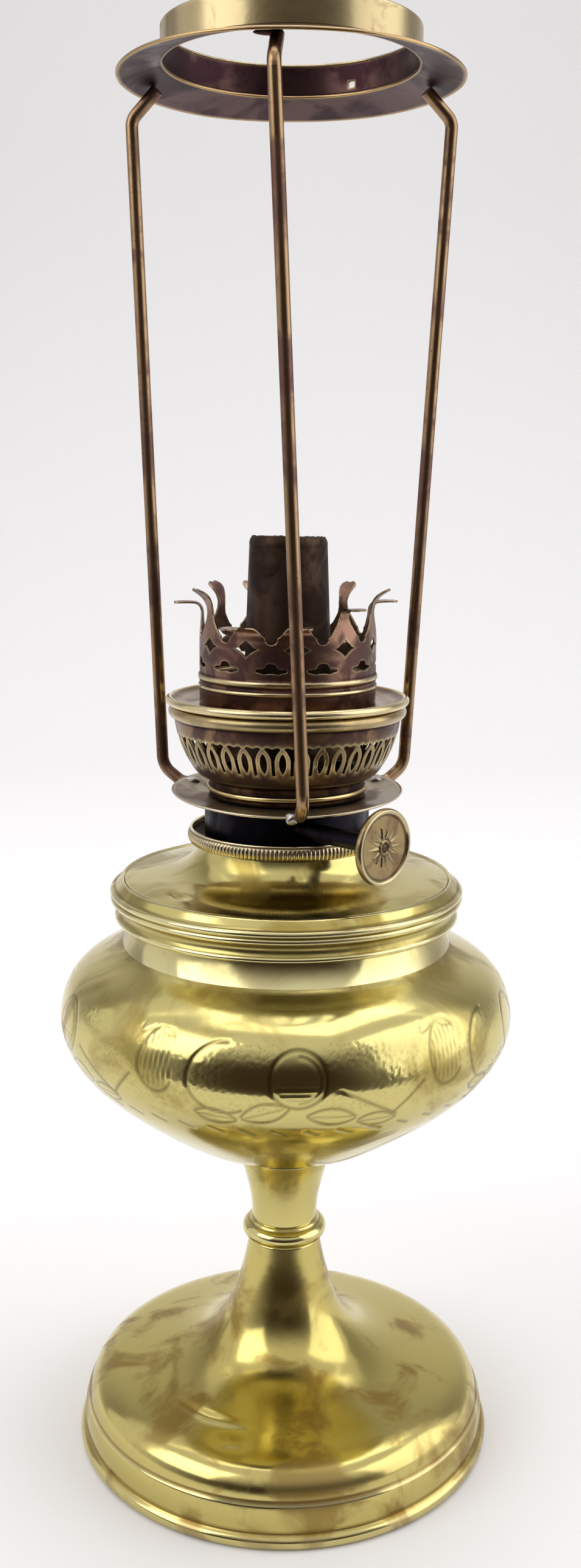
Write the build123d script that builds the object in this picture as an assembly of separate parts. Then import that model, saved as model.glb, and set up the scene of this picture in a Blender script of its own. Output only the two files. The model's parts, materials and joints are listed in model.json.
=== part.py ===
from build123d import *
import math
import os

# A pedestal table lamp that burns paraffin: a spun brass foot, stem and tank, a round-wick
# burner with a side winder, a chimney gallery, and a wire tripod that carries a shade ring.
# Millimetres, +Z up. The origin is the centre of the foot, on the table. The front is -Y.
# Azimuths are degrees from the front, positive towards +X.

# ---- sheet and fits -------------------------------------------------------------------
SPUN_WALL = 0.9          # foot, stem and tank
SHEET_WALL = 0.5         # burner sheet
LIFT_GAP = 0.4           # radial gap between pieces that lift or turn on each other
SEAT_GAP = 0.3           # height gap between two bodies that rest on each other
RUN_GAP = 0.05           # radial gap of the winder shaft in its bearings

# ---- foot and stem --------------------------------------------------------------------
FOOT_R = 67.2            # outside of the rolled rim
FOOT_RIM_H = 4.4
FOOT_SKIRT_H = 13.6      # top of the upright skirt
FOOT_TOP = 67.4          # height where the foot's stem ends
FOOT_STEM_R = 11.4       # its radius there
STEM_H = 23.2            # upper stem, from the bead to the joint ring
STEM_LOW_R = 10.5
STEM_TOP_R = 15.4
BEAD_OUT = 2.2           # turned bead, past the wider of the two stems
BEAD_H = 6.2
JOINT_OUT = 0.5          # ring between the stem and the tank, past the stem
JOINT_H = 2.0
ROD_R = 3.0              # tie rod that holds foot, stem and tank together
ROD_GAP = 0.3
ROD_TAIL = 3.0           # rod below its nut
NUT_ACROSS = 10.0
NUT_H = 5.0
WASHER_R = 8.0
WASHER_H = 1.2

# ---- tank -----------------------------------------------------------------------------
TANK_R = 71.3            # largest radius, at the belly
BELLY_H = 46.4           # belly above the joint ring
SHOULDER_RISE = 26.5     # from the belly to the foot of the neck
NECK_H = 16.5
NECK_R = 50.0
RIM_OUT = 5.2            # beads round the neck, past it
RIM_H = 12.8
RIM_LIP = 0.4            # rim above the plate's edge
PLATE_OVER = 0.6         # top plate past the neck
PLATE_WALL = 0.8
PLATE_RISE = 12.0        # from the neck's top to the top of the plate's flare
MOUTH_R = 24.6           # bore of the screw collar
COLLAR_WALL = 2.2
COLLAR_H = 9.0

# ---- burner ---------------------------------------------------------------------------
CUP_BRIM = 3.6           # milled ring past the plate's flare
CUP_H = 4.7
CUP_FLOOR = 1.1
THREAD_GAP = 0.3
THREAD_WALL = 1.0
THREAD_H = 8.0
POT_OUT = 1.0            # burner body above the cup, past the mouth
POT_WALL = 0.8
SPIGOT_IN = 2.4          # what the gallery slides on, inside the body
SPIGOT_H = 8.7
DECK_WALL = 0.8
DECK_HOLES = 12
DECK_HOLE_R = 1.6
FLAME_H = 80.7           # outer wick tube's rim above the deck
FLAME_FLARE = 3.6        # its cone round the wick, at the foot
FLAME_GAP = 0.26         # and at the rim
FLAME_FOOT = 1.5         # flange at its foot
FLAME_FOOT_H = 0.6
DRAUGHT_R = 9.3          # inner wick tube
WICK_GAP = 0.3
WICK_WALL = 1.3
WICK_BELOW = 1.0         # wick below the rim at rest
WICK_CLEAR = 18.6        # wick's tail above the tank's floor
WICK_SLIT = 70.0         # degrees left open at the wick's lower part
WICK_BRIDGE = 50.0       # degrees of the bottom plate that cross the slit
SLIT_OVER_VENT = 12.0    # slit above the side window
VENT_ANGLE = 40.0        # side window that lets air into the inner tube
VENT_UP = 4.0            # window above the deck
VENT_H = 14.0
BASE_WALL = 0.8          # burner's bottom plate

# ---- winder ---------------------------------------------------------------------------
WINDER_AZ = 46.0
SHAFT_R = 1.1
SHAFT_BACK = 10.0        # shaft behind its nearest point to the axis
HOUSING_R = 2.7
HOUSING_OVER_CUP = 1.0   # housing above the milled ring
HOUSING_ROOF = 2.2       # body above the housing
HOUSING_INSIDE = 4.4     # housing inside the body, along the shaft
HOUSING_OUT = 44.0       # its outer end along the shaft
EAR_W = 6.0              # bracket at the shaft's inner end
EAR_T = 1.2
EAR_TOP = 2.0            # bracket above the shaft
EAR_AT = 0.6             # bracket from the shaft's end
KNOB_GAP = 2.0           # from the housing to the knob's hub
KNOB_R = 11.35
KNOB_T = 2.3
KNOB_RIM = 1.5           # width of its raised edge
KNOB_DISH = 0.7          # face below the edge
KNOB_RAYS = 14
RAY_FROM = 2.9           # rays from the knob's centre
RAY_L = 4.6
RAY_W = 0.8
RAY_H = 0.6
HUB_R = 3.6
HUB_H = 4.4
SHAFT_IN_KNOB = 0.8      # shaft's end past the knob's back
WHEEL_AT = 5.0           # each wick wheel from the nearest point
WHEEL_T = 1.2
WHEEL_R = 3.73           # over its teeth
WHEEL_TEETH = 10
TOOTH_H = 1.0

# ---- gallery --------------------------------------------------------------------------
BASKET_NECK_H = 5.6      # sleeve, up to the foot of the bowl
SLEEVE_BEAD_H = 3.4      # bead on the sleeve, above its foot
BASKET_R = 36.6
BASKET_H = 28.2          # from its foot to the top of its bead
BASKET_BEAD_H = 4.2
BASKET_BEAD_OUT = 1.8    # bead past the top of the bowl
BASKET_LOOPS = 36
SLOT_SHARE = 0.36        # share of a loop's pitch that is open
DISC_OUT = 0.9           # disc past the basket
DISC_H = 2.6
CHIMNEY_R = 26.5         # glass chimney's foot, the bore of the crown
CHIMNEY_LEDGE = 1.7
CROWN_NECK_H = 9.4
CROWN_BEAD_OUT = 0.5
CROWN_BAND_H = 9.8
CROWN_PETALS = 11
CROWN_AZ = 6.0
EYE_R = 1.9              # pierced eye in the band
EYE_UP = 6.6
PETAL_H = 18.0
PETAL_REACH = 5.6        # how far the tips stand out past the band
PETAL_BASE = 0.62        # share of the pitch that a petal's foot fills
PETAL_TIP_W = 4.2

# ---- tripod and shade ring ------------------------------------------------------------
SAUCER_R = 35.9
SAUCER_WALL = 0.9
SAUCER_DISH = 0.9        # rim above the middle
ROD_DIA = 3.8
LEG_OUT = 6.7            # a leg's line past the wider of disc and saucer
LEG_LOW_RISE = 4.6       # the foot's slope rises by this before it turns up
LEG_OVERLAP = 1.4        # leg's foot in from the saucer's rim
LEG_FOOT = 3.1           # length of the foot, before its slope
LEG_DROP = 7.0           # upper bend below the flange
LEG_PAST_FLANGE = 0.5    # upper bend past the flange
LEG_END = 0.37           # where a leg ends, as a share of the flange's width
LEG_BENDS = (4.0, 6.5, 4.5)
TRIPOD_H = 208.1         # from the saucer to the flange's lower edge
FLANGE_W = 12.7
FLANGE_RISE = 3.8
FLANGE_WALL = 0.8
COLLAR_R = 37.3          # shade collar, outside
SHADE_COLLAR_H = 9.1
SHADE_COLLAR_WALL = 0.7
PEEP_W = 2.2             # square peep hole in the collar
PEEP_H = 1.8
PEEP_UP = 1.4
PEEP_AZ = 150.0
LEG_AZ = {"leg_left": (-115.0, -110.0), "leg_front": (6.0, -5.0), "leg_right": (121.0, 109.0)}

# ---- radii that follow ----------------------------------------------------------------
BEAD_R = max(FOOT_STEM_R, STEM_LOW_R) + BEAD_OUT
JOINT_R = STEM_TOP_R + JOINT_OUT
RIM_R = NECK_R + RIM_OUT
PLATE_R = NECK_R + PLATE_OVER
FLARE_R = MOUTH_R + COLLAR_WALL + PLATE_WALL
CUP_R = FLARE_R + CUP_BRIM
POT_R = MOUTH_R + POT_OUT
SPIGOT_R = POT_R - SPIGOT_IN
WICK_R = DRAUGHT_R + WICK_GAP + WICK_WALL
FLAME_LOW_R = WICK_R + FLAME_FLARE + SHEET_WALL
FLAME_TOP_R = WICK_R + FLAME_GAP + SHEET_WALL
DISC_R = BASKET_R + DISC_OUT
FLANGE_R = COLLAR_R + FLANGE_W
LEG_LOW_R = max(DISC_R, SAUCER_R) + LEG_OUT
LEG_TOP_R = FLANGE_R + LEG_PAST_FLANGE
LEG_END_R = COLLAR_R + LEG_END * FLANGE_W

# ---- places along the winder's shaft, from its nearest point to the lamp's axis ---------
WHEEL_NEAR = WHEEL_AT - WHEEL_T / 2
WINDER_OFFSET = math.sqrt(WICK_R ** 2 - WHEEL_NEAR ** 2) + WICK_GAP + WHEEL_R
HOUSING_IN = math.sqrt(POT_R ** 2 - WINDER_OFFSET ** 2) - HOUSING_INSIDE
KNOB_AT = HOUSING_OUT + KNOB_GAP + HUB_H

# ---- heights that follow --------------------------------------------------------------
BEAD_Z = FOOT_TOP
STEM_Z = BEAD_Z + BEAD_H
JOINT_Z = STEM_Z + STEM_H
TANK_Z = JOINT_Z + JOINT_H
BELLY_Z = TANK_Z + BELLY_H
SHOULDER_TOP = BELLY_Z + SHOULDER_RISE
NECK_TOP = SHOULDER_TOP + NECK_H
MOUTH_Z = NECK_TOP + PLATE_RISE
CUP_Z = MOUTH_Z + SEAT_GAP
CUP_TOP = CUP_Z + CUP_H
FLOOR_Z = CUP_Z + CUP_FLOOR
BASE_Z = CUP_Z - THREAD_H + BASE_WALL
SHAFT_Z = CUP_TOP + HOUSING_OVER_CUP + HOUSING_R
SHOULDER_Z = SHAFT_Z + HOUSING_R + HOUSING_ROOF
DECK_TOP = SHOULDER_Z + DECK_WALL
VENT_Z = DECK_TOP + VENT_UP
FLAME_TOP = SHOULDER_Z + FLAME_H
WICK_TOP = FLAME_TOP - WICK_BELOW
WICK_LOW = TANK_Z + SPUN_WALL + WICK_CLEAR
SAUCER_Z = SHOULDER_Z + SEAT_GAP
BASKET_Z = SAUCER_Z + SAUCER_WALL + SEAT_GAP
DISC_Z = BASKET_Z + BASKET_H
CROWN_Z = DISC_Z + SHEET_WALL
BAND_Z = CROWN_Z + CROWN_NECK_H
PETAL_Z = BAND_Z + CROWN_BAND_H
RING_Z = SAUCER_Z + TRIPOD_H
SEAT_Z = RING_Z + FLANGE_RISE
COLLAR_Z = SEAT_Z + FLANGE_WALL


def turned(*edges):
    """Turn a closed outline of (radius, height) edges about the lamp's axis."""
    return revolve(Plane.XZ * make_face(edges), Axis.Z)


def lathe(points):
    """Turn a closed polygon of (radius, height) points about the lamp's axis."""
    return turned(Polyline(*points, close=True))


def ring(inner, outer, low, high):
    """A plain ring with its axis on the lamp's axis."""
    return lathe([(inner, low), (outer, low), (outer, high), (inner, high)])


def disc(radius, low, high):
    return Pos(0, 0, low) * Cylinder(radius, high - low, align=(Align.CENTER, Align.CENTER, Align.MIN))


def inset(points, wall):
    """Set a line of (radius, height) points in by the wall, to the left of its run."""
    moved = []
    for i, (r, z) in enumerate(points):
        r0, z0 = points[max(i - 1, 0)]
        r1, z1 = points[min(i + 1, len(points) - 1)]
        run = math.hypot(r1 - r0, z1 - z0)
        moved.append((r - wall * (z1 - z0) / run, z + wall * (r1 - r0) / run))
    return moved


def at(radius, azimuth, height):
    """A point from its radius, azimuth and height."""
    a = math.radians(azimuth)
    return (radius * math.sin(a), -radius * math.cos(a), height)


def wedge(radius, azimuth, angle, low, high):
    """A sector of a cylinder, centred on an azimuth, for cutting slits and windows."""
    edge = [at(radius, azimuth + angle * (k / 8 - 0.5), 0)[:2] for k in range(9)]
    return Pos(0, 0, low) * extrude(make_face(Polyline((0, 0), *edge, close=True)), high - low)


# The winder's own frame: x is sideways away from the shaft's side, y is up, z runs outwards
# along the shaft from its nearest point to the lamp's axis.
SIDE = (math.cos(math.radians(WINDER_AZ)), math.sin(math.radians(WINDER_AZ)))
OUTWARD = (SIDE[1], -SIDE[0])
WINDER = Plane(
    origin=(-WINDER_OFFSET * SIDE[0], -WINDER_OFFSET * SIDE[1], SHAFT_Z),
    x_dir=(SIDE[0], SIDE[1], 0),
    z_dir=(OUTWARD[0], OUTWARD[1], 0),
)
SLIT_AZ = WINDER_AZ + 90.0        # the wick's slit faces away from the wheels


def along_shaft(radius, start, end, bore=0.0):
    """A round bar or tube on the winder's line, between two distances along it."""
    bar = Pos(0, 0, start) * Cylinder(radius, end - start, align=(Align.CENTER, Align.CENTER, Align.MIN))
    if bore:
        bar -= Pos(0, 0, start) * Cylinder(bore, end - start, align=(Align.CENTER, Align.CENTER, Align.MIN))
    return WINDER * bar


# ---- foot and stem --------------------------------------------------------------------
def foot_shell():
    """Spun foot: rolled rim, grooved skirt, dome and trumpet stem with a turned-in top."""
    skirt_r = FOOT_R - 1.0
    shoulder_r = FOOT_R - 3.0
    shoulder_z = FOOT_SKIRT_H + 1.4
    rise = FOOT_TOP - shoulder_z
    waist = FOOT_STEM_R
    span = shoulder_r - waist
    dome = [(shoulder_r, shoulder_z)]
    for across, up in ((0.02, 0.06), (0.065, 0.115), (0.19, 0.165), (0.38, 0.205), (0.57, 0.255),
                       (0.72, 0.335), (0.835, 0.46), (0.91, 0.63), (0.965, 0.82), (1.0, 1.0)):
        dome.append((shoulder_r - across * span, shoulder_z + up * rise))
    under = inset(dome, SPUN_WALL)
    under[-1] = (waist - SPUN_WALL, FOOT_TOP - SPUN_WALL)
    lip = ROD_R + ROD_GAP
    inner_r = shoulder_r - SPUN_WALL
    return turned(
        Line((inner_r, 0), (FOOT_R - 0.6, 0)),
        ThreePointArc((FOOT_R - 0.6, 0), (FOOT_R, FOOT_RIM_H / 2), (FOOT_R - 0.6, FOOT_RIM_H)),
        Polyline((FOOT_R - 0.6, FOOT_RIM_H), (skirt_r - 0.5, FOOT_RIM_H + 0.7),
                 (skirt_r, FOOT_RIM_H + 1.5), (skirt_r - 1.0, FOOT_SKIRT_H),
                 (shoulder_r - 0.2, FOOT_SKIRT_H + 0.6), (shoulder_r, shoulder_z)),
        Spline(*dome),
        Polyline((waist, FOOT_TOP), (lip, FOOT_TOP), (lip, FOOT_TOP - SPUN_WALL), under[-1]),
        Spline(*reversed(under)),
        Polyline(under[0], (inner_r, shoulder_z - 1.0), (inner_r, 0)),
    )


def tie_washer():
    return ring(ROD_R + ROD_GAP, WASHER_R, FOOT_TOP - SPUN_WALL - WASHER_H, FOOT_TOP - SPUN_WALL)


def nut_top():
    return FOOT_TOP - SPUN_WALL - WASHER_H


def tie_nut():
    """Hexagon nut on the rod's lower end."""
    hexagon = RegularPolygon(NUT_ACROSS / 2, 6, major_radius=False)
    nut = Pos(0, 0, nut_top() - NUT_H) * extrude(hexagon, NUT_H)
    return nut - disc(ROD_R, nut_top() - NUT_H, nut_top())


def tie_rod():
    return disc(ROD_R, nut_top() - NUT_H - ROD_TAIL, TANK_Z)


def stem_bead():
    """Turned bead between the foot and the upper stem."""
    bore = ROD_R + ROD_GAP
    low, high = BEAD_Z, BEAD_Z + BEAD_H
    return turned(
        Line((bore, low), (FOOT_STEM_R + 0.3, low)),
        ThreePointArc((FOOT_STEM_R + 0.3, low), (BEAD_R, low + BEAD_H * 0.5),
                      (STEM_LOW_R + 0.9, high - 0.6)),
        Polyline((STEM_LOW_R + 0.9, high - 0.6), (STEM_LOW_R + 0.7, high), (bore, high), (bore, low)),
    )


def upper_stem():
    """Trumpet that opens from the bead up to the tank."""
    grow = STEM_TOP_R - STEM_LOW_R
    line = [(STEM_LOW_R + g * grow, STEM_Z + u * STEM_H)
            for g, u in ((0, 0), (0.03, 0.18), (0.15, 0.38), (0.38, 0.6), (0.7, 0.83), (1.0, 1.0))]
    inner = inset(line, SPUN_WALL)
    inner[0] = (STEM_LOW_R - SPUN_WALL, STEM_Z)
    inner[-1] = (STEM_TOP_R - 1.3 * SPUN_WALL, JOINT_Z)
    return turned(Spline(*line), Line(line[-1], inner[-1]),
                  Spline(*reversed(inner)), Line(inner[0], line[0]))


def joint_ring():
    """Half-round ring soldered between the stem and the tank."""
    bore = ROD_R + ROD_GAP
    return turned(
        Line((bore, JOINT_Z), (JOINT_R - 0.6, JOINT_Z)),
        ThreePointArc((JOINT_R - 0.6, JOINT_Z), (JOINT_R, JOINT_Z + JOINT_H / 2),
                      (JOINT_R - 0.6, JOINT_Z + JOINT_H)),
        Polyline((JOINT_R - 0.6, TANK_Z), (bore, TANK_Z), (bore, JOINT_Z)),
    )


# ---- tank -----------------------------------------------------------------------------
def tank_line():
    """Outside of the tank, from the joint ring up to the foot of its neck."""
    lower = [(0.0, 0.0), (0.15, 0.055), (0.315, 0.14), (0.475, 0.265), (0.635, 0.405),
             (0.79, 0.56), (0.905, 0.71), (0.975, 0.86), (1.0, 1.0)]
    foot_r = JOINT_R - 0.9
    line = [(foot_r + s * (TANK_R - foot_r), TANK_Z + u * BELLY_H) for s, u in lower]
    upper = [(0.05, 0.25), (0.17, 0.46), (0.36, 0.61), (0.62, 0.73), (0.87, 0.84), (0.98, 0.93), (1.0, 1.0)]
    line += [(TANK_R - s * (TANK_R - NECK_R), BELLY_Z + u * SHOULDER_RISE) for s, u in upper]
    return line


def tank_body():
    """Spun tank: closed floor, round belly, soft shoulder and an upright neck."""
    line = tank_line()
    inner = inset(line, SPUN_WALL)
    inner[0] = (line[0][0], TANK_Z + SPUN_WALL)
    inner[-1] = (NECK_R - SPUN_WALL, line[-1][1])
    return turned(
        Line((0, TANK_Z), line[0]), Spline(*line),
        Polyline(line[-1], (NECK_R, NECK_TOP), (NECK_R - SPUN_WALL, NECK_TOP), inner[-1]),
        Spline(*reversed(inner)),
        Polyline(inner[0], (0, TANK_Z + SPUN_WALL), (0, TANK_Z)),
    )


def tank_rim():
    """Moulding round the neck: a lower edge, a cove, two beads and a sloping top."""
    low = NECK_TOP + PLATE_WALL + RIM_LIP - RIM_H
    cove_r = RIM_R - 2.3
    z1, z2, z3 = low + 5.6, low + 7.7, low + 9.8
    return turned(
        Line((NECK_R, low), (RIM_R - 2.4, low)),
        ThreePointArc((RIM_R - 2.4, low), (RIM_R - 1.3, low + 1.0), (RIM_R - 1.9, low + 1.9)),
        ThreePointArc((RIM_R - 1.9, low + 1.9), (cove_r, low + 3.4), (RIM_R - 1.2, z1)),
        ThreePointArc((RIM_R - 1.2, z1), (RIM_R - 0.1, (z1 + z2) / 2), (RIM_R - 0.8, z2)),
        ThreePointArc((RIM_R - 0.8, z2), (RIM_R, (z2 + z3) / 2), (RIM_R - 0.9, z3)),
        Polyline((RIM_R - 0.9, z3), (PLATE_R + 0.7, low + RIM_H), (PLATE_R, low + RIM_H - 0.5),
                 (PLATE_R, NECK_TOP), (NECK_R, NECK_TOP), (NECK_R, low)),
    )


def plate_line():
    """Top of the plate from its edge to its flare's mouth."""
    span = PLATE_R - FLARE_R
    rise = PLATE_RISE - PLATE_WALL
    base = NECK_TOP + PLATE_WALL
    return [(PLATE_R - s * span, base + u * rise)
            for s, u in ((0, 0), (0.2, 0.09), (0.48, 0.17), (0.7, 0.28), (0.86, 0.49), (0.96, 0.76), (1, 1))]


def tank_top_plate():
    """Plate that closes the tank and flares up to the screw collar."""
    line = plate_line()
    inner = inset(line, PLATE_WALL)
    mouth = MOUTH_R + COLLAR_WALL
    inner[0] = (PLATE_R, NECK_TOP)
    inner[-1] = (mouth, MOUTH_Z)
    return turned(Spline(*line), Line(line[-1], inner[-1]), Spline(*reversed(inner)), Line(inner[0], line[0]))


def tank_collar():
    """Screw collar soldered inside the plate's flare."""
    outer = MOUTH_R + COLLAR_WALL
    step = outer - 0.8
    drop = MOUTH_Z - COLLAR_H
    return lathe([(MOUTH_R, drop), (step, drop), (step, MOUTH_Z - 1.5), (outer, MOUTH_Z - 0.2),
                  (outer, MOUTH_Z), (MOUTH_R, MOUTH_Z)]) - tank_top_plate()


# ---- burner ---------------------------------------------------------------------------
def burner_cup():
    """Screw cup: a threaded skirt, a floor and a milled ring to grip."""
    skirt = MOUTH_R - THREAD_GAP
    bore = skirt - THREAD_WALL
    lip = CUP_TOP - 0.5
    return turned(
        Polyline((bore, CUP_Z - THREAD_H), (skirt, CUP_Z - THREAD_H), (skirt, CUP_Z), (CUP_R - 1.2, CUP_Z)),
        ThreePointArc((CUP_R - 1.2, CUP_Z), (CUP_R, CUP_Z + CUP_H * 0.45), (CUP_R - 0.7, lip)),
        ThreePointArc((CUP_R - 0.7, lip), (CUP_R - 1.1, CUP_TOP), (CUP_R - 1.6, lip)),
        Polyline((CUP_R - 1.6, lip), (CUP_R - 2.4, FLOOR_Z), (bore, FLOOR_Z), (bore, CUP_Z - THREAD_H)),
    )


def burner_pot():
    """Burner body: it stands on the cup's floor and narrows to the gallery's spigot."""
    top = SHOULDER_Z + SPIGOT_H
    under = SHOULDER_Z - POT_WALL
    pot = lathe([(POT_R - POT_WALL, FLOOR_Z), (POT_R, FLOOR_Z), (POT_R, SHOULDER_Z),
                 (SPIGOT_R, SHOULDER_Z), (SPIGOT_R, top), (SPIGOT_R - POT_WALL, top),
                 (SPIGOT_R - POT_WALL, under), (POT_R - POT_WALL, under)])
    return pot - along_shaft(HOUSING_R, HOUSING_IN, HOUSING_OUT)


def base_plate():
    """Bottom plate of the burner, slotted for the wick except for one bridge."""
    bore = MOUTH_R - THREAD_GAP - THREAD_WALL
    plate = disc(bore, BASE_Z - BASE_WALL, BASE_Z) - disc(DRAUGHT_R - SHEET_WALL, BASE_Z - BASE_WALL, BASE_Z)
    slot = ring(DRAUGHT_R, DRAUGHT_R + 2 * WICK_GAP + WICK_WALL, BASE_Z - BASE_WALL, BASE_Z)
    bridge = wedge(POT_R, SLIT_AZ, WICK_BRIDGE, BASE_Z - BASE_WALL, BASE_Z)
    return plate - (slot - bridge)


def air_deck():
    """Perforated plate across the body that carries the outer wick tube."""
    rim = SPIGOT_R - POT_WALL
    inner = FLAME_LOW_R - SHEET_WALL
    deck = ring(inner, rim, SHOULDER_Z, DECK_TOP)
    hole_ring = (rim + FLAME_LOW_R + FLAME_FOOT) / 2
    for k in range(DECK_HOLES):
        deck -= Pos(*at(hole_ring, k * 360 / DECK_HOLES, DECK_TOP)) * Cylinder(DECK_HOLE_R, 4 * DECK_WALL)
    return deck


def vent():
    """Window through both wick tubes, opposite the wheels."""
    return wedge(2 * FLAME_LOW_R, SLIT_AZ, VENT_ANGLE, VENT_Z, VENT_Z + VENT_H)


def flame_tube():
    """Outer wick tube: a cone with a small foot flange and a rounded mouth."""
    foot_r = FLAME_LOW_R + FLAME_FOOT
    foot_top = DECK_TOP + FLAME_FOOT_H
    inner_low = FLAME_LOW_R - SHEET_WALL
    inner_top = FLAME_TOP_R - SHEET_WALL
    lip = FLAME_TOP - 0.3
    tube = turned(
        Polyline((inner_low, DECK_TOP), (foot_r, DECK_TOP), (foot_r, foot_top),
                 (FLAME_LOW_R, foot_top), (FLAME_TOP_R, lip)),
        ThreePointArc((FLAME_TOP_R, lip), (FLAME_TOP_R - SHEET_WALL / 2, FLAME_TOP), (inner_top, lip)),
        Line((inner_top, lip), (inner_low, DECK_TOP)),
    )
    return tube - vent()


def draught_tube():
    """Inner wick tube, which brings air up the middle of the flame."""
    return ring(DRAUGHT_R - SHEET_WALL, DRAUGHT_R, BASE_Z, WICK_TOP) - vent()


def wick():
    """Round wick with a slit lower part, hanging down into the tank."""
    tube = ring(DRAUGHT_R + WICK_GAP, WICK_R, WICK_LOW, WICK_TOP)
    slit_top = VENT_Z + VENT_H + SLIT_OVER_VENT
    return tube - wedge(2 * WICK_R, SLIT_AZ, WICK_SLIT, WICK_LOW - 1.0, slit_top)


# ---- winder ---------------------------------------------------------------------------
def winder_housing():
    return along_shaft(HOUSING_R, HOUSING_IN, HOUSING_OUT, SHAFT_R + RUN_GAP)


def winder_bracket():
    """Upright ear on the bottom plate that holds the shaft's inner end."""
    start = -SHAFT_BACK + EAR_AT
    height = SHAFT_Z - BASE_Z + SHAFT_R + EAR_TOP
    ear = Pos(0, BASE_Z - SHAFT_Z + height / 2, start + EAR_T / 2) * Box(EAR_W, height, EAR_T)
    return WINDER * ear - along_shaft(SHAFT_R + RUN_GAP, start - EAR_T, start + 2 * EAR_T)


def winder_shaft():
    return along_shaft(SHAFT_R, -SHAFT_BACK, KNOB_AT + SHAFT_IN_KNOB)


def wick_wheel(place):
    """Toothed wheel that drives the wick."""
    outline = []
    for k in range(2 * WHEEL_TEETH):
        a = math.pi * k / WHEEL_TEETH
        r = WHEEL_R if k % 2 == 0 else WHEEL_R - TOOTH_H
        outline.append((r * math.cos(a), r * math.sin(a)))
    wheel = extrude(make_face(Polyline(*outline, close=True)), WHEEL_T)
    wheel = WINDER * Pos(0, 0, place - WHEEL_T / 2) * wheel
    return wheel - along_shaft(SHAFT_R, place - WHEEL_T, place + WHEEL_T)


def winder_knob():
    """Pressed button with a raised edge, a boss and a ring of short rays."""
    edge, dish = KNOB_R - 0.4, KNOB_T - KNOB_DISH
    boss_low, boss_high = 0.8 * RAY_FROM, 0.55 * RAY_FROM
    button = revolve(Plane.XZ * make_face(Polyline(
        (0, SHAFT_IN_KNOB), (SHAFT_R, SHAFT_IN_KNOB), (SHAFT_R, -HUB_H), (HUB_R - 0.6, -HUB_H),
        (HUB_R, -0.4), (HUB_R, 0), (edge, 0), (KNOB_R, 0.5), (KNOB_R, KNOB_T - 0.4), (edge, KNOB_T),
        (KNOB_R - KNOB_RIM + 0.4, KNOB_T), (KNOB_R - KNOB_RIM, dish), (boss_low, dish),
        (boss_high, KNOB_T - 0.1), (0, KNOB_T), close=True)), Axis.Z)
    for k in range(KNOB_RAYS):
        ray = Pos(RAY_FROM + RAY_L / 2, 0, KNOB_T - RAY_H) * Box(RAY_L, RAY_W, RAY_H)
        button += Rot(0, 0, k * 360 / KNOB_RAYS) * ray
    return WINDER * Pos(0, 0, KNOB_AT) * button


# ---- gallery --------------------------------------------------------------------------
def basket_line():
    """Outside of the basket's bowl, from its neck to its bead."""
    neck = SPIGOT_R + LIFT_GAP + SHEET_WALL
    span = BASKET_R - BASKET_BEAD_OUT - neck
    low = BASKET_Z + BASKET_NECK_H
    rise = BASKET_H - BASKET_NECK_H - BASKET_BEAD_H
    return [(neck + s * span, low + u * rise)
            for s, u in ((0, 0), (0.28, 0.055), (0.54, 0.235), (0.7, 0.4), (0.85, 0.62),
                         (0.955, 0.83), (1, 1))]


def basket():
    """Bowl with a sleeve that slides on the spigot, pierced all round for air."""
    bore = SPIGOT_R + LIFT_GAP
    neck = bore + SHEET_WALL
    line = basket_line()
    inner = inset(line, SHEET_WALL)
    inner[0] = (bore, line[0][1])
    inner[-1] = (line[-1][0] - SHEET_WALL, line[-1][1])
    top = BASKET_Z + BASKET_H
    bead = BASKET_Z + SLEEVE_BEAD_H
    bowl = turned(
        Polyline((bore, BASKET_Z), (neck, BASKET_Z), (neck, bead - 1.0)),
        ThreePointArc((neck, bead - 1.0), (neck + 0.6, bead), (neck, bead + 1.0)),
        Line((neck, bead + 1.0), line[0]), Spline(*line),
        ThreePointArc(line[-1], (BASKET_R, top - BASKET_BEAD_H / 2), (line[-1][0], top)),
        Polyline((line[-1][0], top), (inner[-1][0], top), inner[-1]),
        Spline(*reversed(inner)), Line(inner[0], (bore, BASKET_Z)),
    )
    low, high = line[2][1] + 0.6, line[5][1] - 0.8
    slot_w = math.pi * (neck + BASKET_R) / BASKET_LOOPS * SLOT_SHARE
    slot = Box(BASKET_R, slot_w, high - low, align=(Align.MIN, Align.CENTER, Align.MIN))
    for k in range(BASKET_LOOPS):
        bowl -= Rot(0, 0, k * 360 / BASKET_LOOPS) * Pos(neck + 1.0, 0, low) * slot
    return bowl


def gallery_disc():
    """Flat ring with a rolled bead, between the basket and the crown."""
    low = DISC_Z
    inner = CHIMNEY_R - CHIMNEY_LEDGE
    edge = DISC_R - DISC_H / 2
    return turned(
        Polyline((inner, low), (edge, low)),
        ThreePointArc((edge, low), (DISC_R, low + DISC_H * 0.5), (edge, low + DISC_H)),
        Polyline((edge, low + DISC_H), (edge - 0.9, low + SHEET_WALL), (inner, low + SHEET_WALL),
                 (inner, low)),
    )


def petal_line():
    """Outside of a petal: upright off the band, then curling outwards."""
    outer = CHIMNEY_R + SHEET_WALL
    return [(outer + s * PETAL_REACH, PETAL_Z + u * PETAL_H)
            for s, u in ((0, 0), (-0.035, 0.3), (0.105, 0.62), (0.43, 0.88), (1, 1))]


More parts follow.
